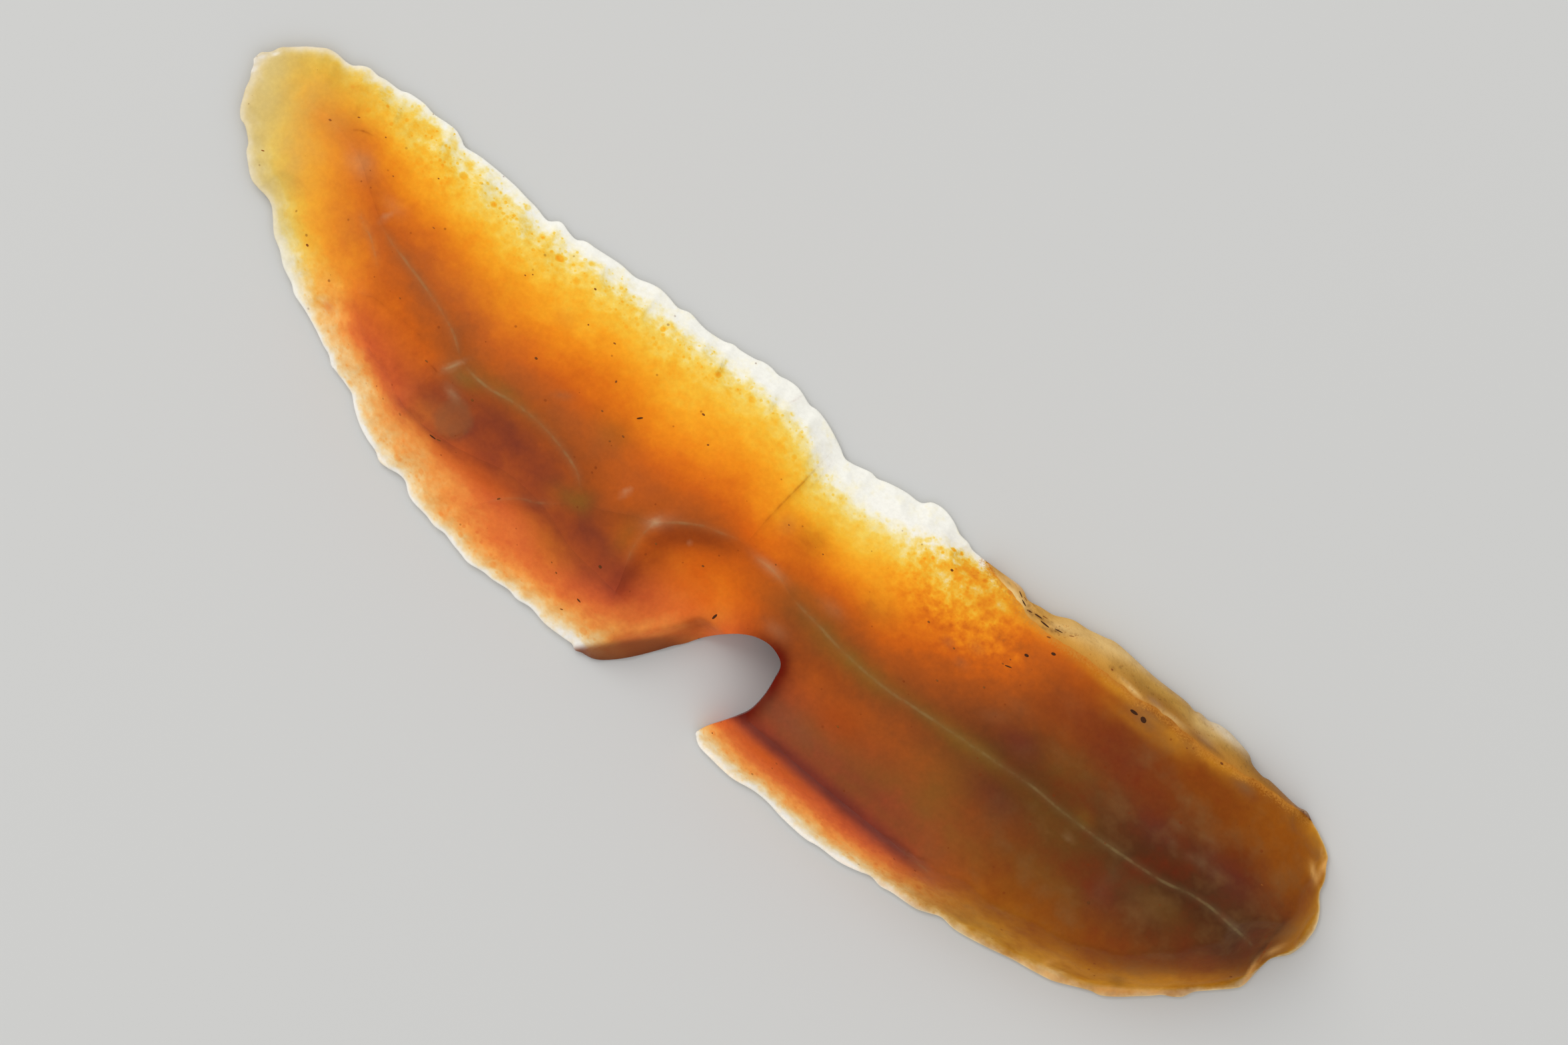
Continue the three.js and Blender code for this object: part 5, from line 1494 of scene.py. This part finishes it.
def new_group(name, inputs, outputs, kind="Shader"):
    """An empty node group with named sockets: its tree, what it is given, and the node at its end."""
    tree = bpy.data.node_groups.new(name, kind + "NodeTree")
    for side, sockets in (("INPUT", inputs), ("OUTPUT", outputs)):
        for label, value in sockets.items():
            tree.interface.new_socket(label, in_out=side, socket_type="NodeSocket" + value)
    return tree, add(tree, "NodeGroupInput").outputs, add(tree, "NodeGroupOutput")


def math_node(tree, operation, a, b, clamp=False):
    settings = {"operation": operation, "use_clamp": clamp}
    return add(tree, "ShaderNodeMath", settings, {0: a, 1: b}).outputs[0]


def plus(tree, a, b):
    return math_node(tree, "ADD", a, b)


def minus(tree, a, b):
    return math_node(tree, "SUBTRACT", a, b)


def divided(tree, a, b, clamp=False):
    return math_node(tree, "DIVIDE", a, b, clamp)


def rest_of(tree, value):
    """What is left of 1, and never less than nothing."""
    return math_node(tree, "SUBTRACT", 1, value, clamp=True)


def centred(tree, noise_level):
    """A noise moved to lie about zero."""
    return minus(tree, noise_level, NOISE_MIDDLE)


def product(tree, *factors):
    result = factors[0]
    for factor in factors[1:]:
        result = math_node(tree, "MULTIPLY", result, factor)
    return result


def mix_colour(tree, factor, a, b, blend="MIX"):
    """Mixes two colours; 0, 6 and 7 are the sockets of the factor and the colours."""
    settings = {"data_type": "RGBA", "blend_type": blend, "clamp_factor": True}
    return add(tree, "ShaderNodeMix", settings, {0: factor, 6: a, 7: b}).outputs[2]


def colour_ramp(tree, share, rows, longest):
    """A colour by a share of the longest way, from rows of (way, colour)."""
    ramp = add(tree, "ShaderNodeValToRGB", None, {0: share})
    stops = ramp.color_ramp.elements
    while len(stops) < len(rows):
        stops.new(1)
    for stop, (way, colour) in zip(stops, rows):
        stop.position = way / longest
        stop.color = linear(colour)
    return ramp.outputs[0]


def group_node(tree, group, **inputs):
    named = {label.replace("_", " "): value for label, value in inputs.items()}
    return add(tree, "ShaderNodeGroup", {"node_tree": group}, named)


def make_light_through():
    """Depth of stone in millimetres to the colour of the light that it lets through."""
    tree, given, end = new_group(
        "light_through_flint", {"Depth": "Float", "Belly Side": "Float", "Butt End": "Float"},
        {"Colour": "Color"})
    share = divided(tree, given["Depth"], DEEPEST, clamp=True)
    golden, salmon, amber = [
        colour_ramp(tree, share, rows, DEEPEST) for rows in (GOLDEN_LIGHT, SALMON_LIGHT, AMBER_LIGHT)]
    mixed = mix_colour(tree, given["Belly Side"], golden, salmon)
    feed(tree, end, {"Colour": mix_colour(tree, given["Butt End"], mixed, amber)})
    return tree


def make_stain():
    """One stain, painted highlight or painted shade over a colour, with a ragged border where the noise is
    high or low.
    """
    tree, given, end = new_group(
        "overlay",
        {"Colour": "Color", "Stain Colour": "Color", "Amount": "Float", "Noise": "Float",
         "Raggedness": "Float"},
        {"Colour": "Color"})
    swing = product(tree, centred(tree, given["Noise"]), given["Raggedness"], 2)
    swing = plus(tree, swing, 1)
    amount = math_node(tree, "MULTIPLY", given["Amount"], swing, clamp=True)
    mixed = mix_colour(tree, amount, given["Colour"], given["Stain Colour"])
    feed(tree, end, {"Colour": mixed})
    return tree


def make_mottle():
    """Cloudy and fine noise on the object's own coordinates, shared by flint and cortex."""
    tree, given, end = new_group(
        "mottle", {"Cloud Scale": "Float", "Grain Scale": "Float"}, {"Clouds": "Float", "Grain": "Float"})
    place = add(tree, "ShaderNodeTexCoord").outputs["Object"]
    for scale, result, (detail, rough) in (
            ("Cloud Scale", "Clouds", CLOUD_DETAIL), ("Grain Scale", "Grain", GRAIN_DETAIL)):
        texture = add(tree, "ShaderNodeTexNoise", None, {
            "Vector": place, "Scale": given[scale], "Detail": detail, "Roughness": rough})
        feed(tree, end, {result: texture.outputs[0]})
    return tree


def cell_texture(tree, scale):
    """Random cells on the object's own coordinates."""
    place = add(tree, "ShaderNodeTexCoord").outputs["Object"]
    return add(tree, "ShaderNodeTexVoronoi", {"feature": "F1"}, {"Vector": place, "Scale": scale})


def make_pits():
    """Small pits and cracks for the relief of a rough surface, from 0 in a pit to 1."""
    tree, given, end = new_group("pits", {"Pit Scale": "Float", "Pit Width": "Float"}, {"Height": "Float"})
    cells = cell_texture(tree, given["Pit Scale"])
    height = divided(tree, cells.outputs["Distance"], given["Pit Width"], clamp=True)
    feed(tree, end, {"Height": height})
    return tree


def make_dots():
    """Scattered dots of random size, most of them very small, with soft borders."""
    tree, given, end = new_group(
        "dots", {"Cells per Metre": "Float", "Largest Dot": "Float", "Rarity": "Float"}, {"Dots": "Float"})
    cells = cell_texture(tree, given["Cells per Metre"])
    chance = add(tree, "ShaderNodeSeparateColor", None, {0: cells.outputs["Color"]}).outputs[0]
    size = math_node(tree, "POWER", chance, given["Rarity"])
    size = math_node(tree, "MAXIMUM", product(tree, size, given["Largest Dot"]), SMALLEST_DOT)
    inner = divided(tree, cells.outputs["Distance"], size)
    dots = minus(tree, DOT_BORDER, inner)
    feed(tree, end, {"Dots": math_node(tree, "MULTIPLY", dots, DOT_SHARPNESS, clamp=True)})
    return tree


def make_arris_line():
    """A thin line, broken by noise, with a faint haze along it."""
    tree, given, end = new_group(
        "arris_line", {"Gap": "Float", "Shown": "Float", "Half Width": "Float", "Noise": "Float"},
        {"Amount": "Float"})
    share = divided(tree, given["Gap"], given["Half Width"])
    broken = minus(tree, given["Noise"], LINE_BREAK)
    broken = math_node(tree, "MULTIPLY", broken, LINE_BREAK_RATE, clamp=True)
    core = product(tree, rest_of(tree, product(tree, share, share)), broken, LINE_CORE)
    haze = rest_of(tree, divided(tree, share, LINE_HAZE_WIDTHS))
    haze = product(tree, haze, haze, LINE_HAZE)
    line = math_node(tree, "MAXIMUM", core, haze)
    feed(tree, end, {"Amount": product(tree, line, given["Shown"])})
    return tree


LIGHT_THROUGH = make_light_through()
STAIN = make_stain()
MOTTLE = make_mottle()
PITS = make_pits()
DOTS = make_dots()
ARRIS_LINE = make_arris_line()


def attribute(tree, name):
    return add(tree, "ShaderNodeAttribute", {"attribute_name": name}).outputs["Fac"]


def new_material(name):
    material = bpy.data.materials.new(name)
    material.use_nodes = True
    shader = material.node_tree.nodes["Principled BSDF"]
    return material, material.node_tree, shader


def mottled(tree, kind):
    """The clouds and the grain of one of the noises."""
    cloud_scale, grain_scale = MOTTLE_SCALES[kind]
    node = group_node(tree, MOTTLE, Cloud_Scale=cloud_scale, Grain_Scale=grain_scale)
    return node.outputs["Clouds"], node.outputs["Grain"]


def dotted(tree, kind):
    """Scattered dots of one of the sizes."""
    cells, largest, rarity = DOT_SIZES[kind]
    return group_node(tree, DOTS, Cells_per_Metre=cells, Largest_Dot=largest, Rarity=rarity).outputs[0]


def stained(tree, colour, shade, amount, ragged_by, raggedness):
    """Lays one stain over a colour and gives the new colour."""
    layer = group_node(tree, STAIN, Colour=colour, Stain_Colour=linear(shade), Amount=amount, Noise=ragged_by,
                       Raggedness=raggedness)
    return layer.outputs["Colour"]


def with_look(tree, colour, look, ragged_by, *masks):
    """Lays a look of its own colour, strength and raggedness over a colour, where some masks overlap."""
    shade, strength, raggedness = look
    return stained(tree, colour, shade, product(tree, *masks, strength), ragged_by, raggedness)


def finish_surface(tree, shader, colour, finish, noise_level):
    """Feeds the shader its colour and a roughness that goes with a noise."""
    least, added, specular = finish
    rough = plus(tree, product(tree, noise_level, added), least)
    feed(tree, shader, {"Base Color": colour, "Roughness": rough, "Specular IOR Level": specular})


def add_bumps(tree, shader, relief, bumps):
    bump = add(tree, "ShaderNodeBump", None, {**bumps, "Height": relief})
    feed(tree, shader, {"Normal": bump.outputs[0]})


def flint_light(tree, wide_clouds, fine_clouds):
    """Painted light by depth of stone, uneven with noise, mottled along the edges and curdled by the cortex.
    """
    wide, fine = centred(tree, wide_clouds), centred(tree, fine_clouds)
    swing = plus(tree, product(tree, wide, WIDE_SWING), product(tree, fine, FINE_SWING))
    depth = plus(tree, attribute(tree, "stone_depth"), swing)
    full = math_node(tree, "MULTIPLY", depth, FULL_PER_MM, clamp=True)
    dots = math_node(tree, "MAXIMUM", product(tree, dotted(tree, "large"), LARGE_DOT_DEPTH),
                     product(tree, dotted(tree, "small"), SMALL_DOT_DEPTH))
    mottling = plus(tree, product(tree, fine, BAND_SWING), dots)
    depth = plus(tree, depth, product(tree, mottling, attribute(tree, "edge_band"), full))
    curdling = plus(tree, fine, wide)
    curdling = product(tree, curdling, CRAZED_SWING, attribute(tree, "crazed"), full)
    depth = math_node(tree, "MAXIMUM", plus(tree, depth, curdling), 0)
    light = group_node(tree, LIGHT_THROUGH, Depth=depth, Belly_Side=attribute(tree, "belly_side"),
                       Butt_End=attribute(tree, "butt_end"))
    return light.outputs["Colour"]


def marbled_butt(tree, colour, fine_clouds):
    """Olive and red patches in the butt half, by one noise."""
    marble = product(tree, centred(tree, mottled(tree, "marble")[0]), attribute(tree, "butt_end"))
    for shade, lean in ((OLIVE_MARBLING, MARBLING_STRENGTH), (RED_MARBLING, -MARBLING_STRENGTH)):
        patches = math_node(tree, "MULTIPLY", marble, lean, clamp=True)
        colour = stained(tree, colour, shade, patches, fine_clouds, MARBLING_RAGGED)
    return colour


def flint_material():
    """Waxy translucent flint: painted light by depth of stone, stains, painted pale arris highlights and fine
    grain.
    """
    material, tree, shader = new_material("knapped_flint")
    wide_clouds, grain = mottled(tree, "wide")
    fine_clouds, fine_grain = mottled(tree, "fine")
    colour = flint_light(tree, wide_clouds, fine_clouds)
    # Stains, painted highlights and a painted shade band, one over another
    for overlay, shade in STAIN_AND_PAINTED_LIGHT_COLOURS.items():
        ragged = VIOLET_RAGGED if overlay == "violet" else OVERLAY_RAGGED
        colour = stained(tree, colour, shade, attribute(tree, "stain_" + overlay), wide_clouds, ragged)
    colour = marbled_butt(tree, colour, fine_clouds)
    lip = attribute(tree, "notch_lip")
    colour = with_look(tree, colour, POT_LID_LOOK, wide_clouds, attribute(tree, "pot_lid"))
    colour = with_look(tree, colour, LIP_LOOK, grain, lip)
    colour = with_look(tree, colour, LIP_EDGE_LOOK, wide_clouds, attribute(tree, "lip_edge"), lip)

    # Arris lines, the pale ones painted highlights
    uneven = product(tree, plus(tree, wide_clouds, fine_clouds), NOISE_MIDDLE)
    for side, (*look, half_width) in LINE_LOOKS.items():
        line = group_node(tree, ARRIS_LINE, Gap=attribute(tree, side + "_line_gap"),
                          Shown=attribute(tree, side + "_line_show"), Half_Width=half_width, Noise=uneven)
        colour = with_look(tree, colour, look, wide_clouds, line.outputs[0])

    colour = with_look(tree, colour, FLECK_LOOK, wide_clouds, dotted(tree, "fleck"))
    thinned = product(tree, attribute(tree, "rind_gap"), CRUMB_THINNING)
    crumbs = minus(tree, minus(tree, fine_grain, thinned), CRUMB_LEVEL)
    crumbs = product(tree, crumbs, CRUMB_SHARPNESS)
    crumbs = math_node(tree, "MINIMUM", crumbs, CRUMB_MOST)
    colour = with_look(tree, colour, CRUMB_LOOK, fine_clouds, crumbs)
    brightness = plus(tree, product(tree, centred(tree, grain), GRAIN_SHADE), 1)
    colour = mix_colour(tree, 1, colour, brightness, "MULTIPLY")

    finish_surface(tree, shader, colour, FLINT_FINISH, wide_clouds)
    relief = plus(tree, product(tree, grain, FLINT_BUMP_GRAIN), fine_clouds)
    add_bumps(tree, shader, relief, FLINT_BUMPS)
    feed(tree, shader, {"IOR": FLINT_IOR})
    return material


def cortex_material():
    """Chalky rind: cream and tan clouds, brown in its pits and towards the flint."""
    material, tree, shader = new_material("chalky_cortex")
    cloudy, grain = mottled(tree, "cortex")
    pits = group_node(tree, PITS, **CORTEX_PITS).outputs["Height"]
    colour = mix_colour(tree, cloudy, linear(CORTEX_TAN), linear(CORTEX_CREAM))
    near = rest_of(tree, divided(tree, attribute(tree, "from_flint"), CORTEX_WARM_REACH))
    colour = stained(tree, colour, CORTEX_WARM, near, cloudy, CORTEX_RAGGED)
    for overlay, shade in RIND_COLOURS.items():
        colour = stained(tree, colour, shade, attribute(tree, "rind_" + overlay), cloudy, CORTEX_RAGGED)
    hollow = product(tree, rest_of(tree, pits), attribute(tree, "rough_rind"))
    colour = stained(tree, colour, RIND_COLOURS["brown"], hollow, grain, CORTEX_RAGGED)
    finish_surface(tree, shader, colour, CORTEX_FINISH, grain)
    add_bumps(tree, shader, plus(tree, grain, pits), CORTEX_BUMPS)
    return material


def speck_material():
    """Dark iron mineral, browner where the noise is high and rusty in the small specks."""
    material, tree, shader = new_material("iron_specks")
    cloudy, grain = mottled(tree, "speck")
    dark = mix_colour(tree, cloudy, linear(SPECK_BLACK), linear(SPECK_BROWN))
    colour = mix_colour(tree, attribute(tree, "speck_dark"), linear(SPECK_RUST), dark)
    finish_surface(tree, shader, colour, SPECK_FINISH, grain)
    return material


def grow(piece, tree, values):
    """Runs a geometry tree on a piece and keeps its result as a plain mesh."""
    modifier = piece.modifiers.new(tree.name, "NODES")
    modifier.node_group = tree
    inputs = [item for item in tree.interface.items_tree if item.in_out == "INPUT"]
    sockets = {item.name: item.identifier for item in inputs}
    for label, value in values.items():
        modifier[sockets[label]] = value
    evaluated = piece.evaluated_get(bpy.context.evaluated_depsgraph_get())
    mesh = bpy.data.meshes.new_from_object(evaluated)
    piece.modifiers.remove(modifier)
    old = piece.data
    piece.data = mesh
    bpy.data.meshes.remove(old)
    mesh.name = piece.name
    return piece


def named_value(tree, label, kind="FLOAT"):
    """A value that the points of a mesh carry."""
    node = add(tree, "GeometryNodeInputNamedAttribute", {"data_type": kind}, {"Name": label})
    return node.outputs["Attribute"]


def finish_tree(tree, given, end, instances):
    """Makes instances real and gives them the tree's material."""
    real = add(tree, "GeometryNodeRealizeInstances", None, {"Geometry": instances})
    paint = add(tree, "GeometryNodeSetMaterial", None, {
        "Geometry": real.outputs["Geometry"], "Material": given["Grain Material"]})
    feed(tree, end, {"Geometry": paint.outputs["Geometry"]})
    return tree


def speck_tree():
    """A flattened grain on every point, turned flat to the surface by the point's own values."""
    tree, given, end = new_group(
        "set_specks", {"Geometry": "Geometry", "Grain Stand": "Float", "Grain Material": "Material"},
        {"Geometry": "Geometry"}, "Geometry")
    grain = add(tree, "GeometryNodeMeshIcoSphere", None, {"Radius": 1, "Subdivisions": 2})
    size = add(tree, "ShaderNodeCombineXYZ", None, {
        "X": named_value(tree, "speck_length"), "Y": named_value(tree, "speck_width"),
        "Z": given["Grain Stand"]})
    spin = add(tree, "ShaderNodeCombineXYZ", None, {"Z": named_value(tree, "speck_turn")})
    turn = add(tree, "FunctionNodeEulerToRotation", None, {0: spin.outputs[0]})
    align = add(tree, "FunctionNodeAlignRotationToVector", {"axis": "Z"}, {
        "Rotation": turn.outputs[0], "Vector": named_value(tree, "speck_up", "FLOAT_VECTOR")})
    place = add(tree, "GeometryNodeInstanceOnPoints", None, {
        "Points": given["Geometry"], "Instance": grain.outputs["Mesh"],
        "Rotation": align.outputs[0], "Scale": size.outputs[0]})
    return finish_tree(tree, given, end, place.outputs["Instances"])


def make_specks(material):
    """The dark mineral specks, each a flat grain half sunk in the dorsal face."""
    spots, sizes, turns = np.split(np.array(SPECKS, float), (2, 4), axis=1)
    height = dorsal_height(spots)
    slope_x = (dorsal_height(spots + (SLOPE_STEP, 0)) - height) / SLOPE_STEP
    slope_y = (dorsal_height(spots + (0, SLOPE_STEP)) - height) / SLOPE_STEP
    normals = np.column_stack([-slope_x, -slope_y, np.ones(len(spots))])
    normals /= np.linalg.norm(normals, axis=1)[:, None]

    mesh = bpy.data.meshes.new("mineral_specks")
    mesh.from_pydata([Vector((x, y, z)) * MM for (x, y), z in zip(spots, height)], [], [])
    piece = linked("mineral_specks", mesh)
    large = smooth_step(sizes[:, 0] * sizes[:, 1], *SPECK_AREAS)
    dark = LEAST_SPECK_DARK + (1 - LEAST_SPECK_DARK) * large
    past_tip = smooth_step(spots[:, 0], *RUSTY_TIP)
    lay_values(
        piece,
        speck_length=sizes[:, 0] / 2 * MM,
        speck_width=sizes[:, 1] / 2 * MM,
        speck_turn=np.radians(turns[:, 0]),
        speck_dark=dark * (RUSTY_TIP_DARK + (1 - RUSTY_TIP_DARK) * past_tip))
    up = mesh.attributes.new("speck_up", "FLOAT_VECTOR", "POINT")
    up.data.foreach_set("vector", normals.astype(np.float32).ravel())
    return grow(piece, speck_tree(), {"Grain Stand": SPECK_STAND * MM, "Grain Material": material})


def cortex_grain_tree():
    """Chalk grains of random size, strewn over the upper side of the rind where it is rough."""
    tree, given, end = new_group(
        "strew_grains",
        {"Geometry": "Geometry", "Grains per m2": "Float", "Smallest Grain": "Float",
         "Largest Grain": "Float", "Seed": "Int", "Grain Material": "Material"},
        {"Geometry": "Geometry"}, "Geometry")
    facing = add(tree, "GeometryNodeInputNormal").outputs[0]
    height = add(tree, "ShaderNodeSeparateXYZ", None, {0: facing}).outputs["Z"]
    upward = math_node(tree, "GREATER_THAN", height, GRAINS_LOOK_UP)
    density = product(tree, given["Grains per m2"], named_value(tree, "rough_rind"), upward)
    scatter = add(tree, "GeometryNodeDistributePointsOnFaces", {"distribute_method": "RANDOM"}, {
        "Mesh": given["Geometry"], "Density": density, "Seed": given["Seed"]})
    grain = add(tree, "GeometryNodeMeshIcoSphere", None, {"Radius": 1, "Subdivisions": 1})
    size = add(tree, "FunctionNodeRandomValue", {"data_type": "FLOAT"}, {"Seed": given["Seed"]})
    limits = [socket for socket in size.inputs if socket.enabled and socket.type == "VALUE"]
    for socket, label in zip(limits, ("Smallest Grain", "Largest Grain")):
        tree.links.new(given[label], socket)
    amount = next(socket for socket in size.outputs if socket.enabled)
    place = add(tree, "GeometryNodeInstanceOnPoints", None, {
        "Points": scatter.outputs["Points"], "Rotation": scatter.outputs["Rotation"],
        "Instance": grain.outputs["Mesh"], "Scale": amount})
    return finish_tree(tree, given, end, place.outputs["Instances"])


def make_cortex_grains(cortex, material):
    piece = linked("cortex_grains", cortex.data.copy())
    return grow(piece, cortex_grain_tree(), {**CHALK_GRAINS, "Grain Material": material})


def lay_floor():
    mesh = bpy.data.meshes.new("table_top")
    corners = ((-1, -1), (1, -1), (1, 1), (-1, 1))
    mesh.from_pydata([(x * TABLE_HALF, y * TABLE_HALF, 0) for x, y in corners], [], [(0, 1, 2, 3)])
    floor = linked("table_top", mesh)
    floor.location.z = -TABLE_DROP * MM
    material, tree, shader = new_material("pale_table")
    feed(tree, shader, {"Base Color": linear(TABLE_COLOUR), "Roughness": TABLE_ROUGHNESS,
                        "Specular IOR Level": TABLE_SPECULAR})
    mesh.materials.append(material)


def hang_lamp(name, place, size, power):
    """A round lamp that looks at the stone."""
    lamp = bpy.data.lights.new(name, "AREA")
    lamp.shape = "DISK"
    lamp.size = size
    lamp.energy = power
    holder = linked(name, lamp)
    holder.location = place
    holder.rotation_euler = (-Vector(place)).to_track_quat("-Z", "Y").to_euler()


def light_studio():
    world = bpy.data.worlds.new("studio")
    world.use_nodes = True
    tree = world.node_tree
    feed(tree, tree.nodes["Background"], {"Color": (1, 1, 1, 1), "Strength": WORLD_STRENGTH})
    bpy.context.scene.world = world
    for name, (place, size, power) in LAMPS.items():
        hang_lamp(name, place, size, power)


def aim_camera():
    lens = bpy.data.cameras.new("photo_camera")
    lens.lens = LENS
    lens.sensor_width = SENSOR
    camera = linked("photo_camera", lens)
    distance = PICTURE_WIDTH * LENS / SENSOR
    camera.location = Vector((*PICTURE_MIDDLE, distance)) * MM
    camera.rotation_euler = (0, 0, math.radians(PICTURE_TURN))
    bpy.context.scene.camera = camera


aim_camera()
flint_creases = lines_inside(crease_lines(), FLINT_LOOP)
flint, is_top = build_stone("knapped_flint", FLINT_LOOP, flint_creases, FLINT_GRID_SEED)
lay_flint_values(flint, is_top)
flint.data.materials.append(flint_material())
cortex, _ = build_stone("chalky_cortex", CORTEX_LOOP, [], CORTEX_GRID_SEED)
lay_cortex_values(cortex)
cortex.data.materials.append(cortex_material())
specks = make_specks(speck_material())
grains = make_cortex_grains(cortex, cortex.data.materials[0])

for piece, node, slot in ((flint, "flint_body", "flint"), (specks, "flint_body", "flint"),
                          (cortex, "cortex_rim", "cortex"), (grains, "cortex_rim", "cortex")):
    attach(piece, "root")
    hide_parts(node)

lay_floor()
light_studio()
bpy.context.scene.view_settings.view_transform = "Standard"
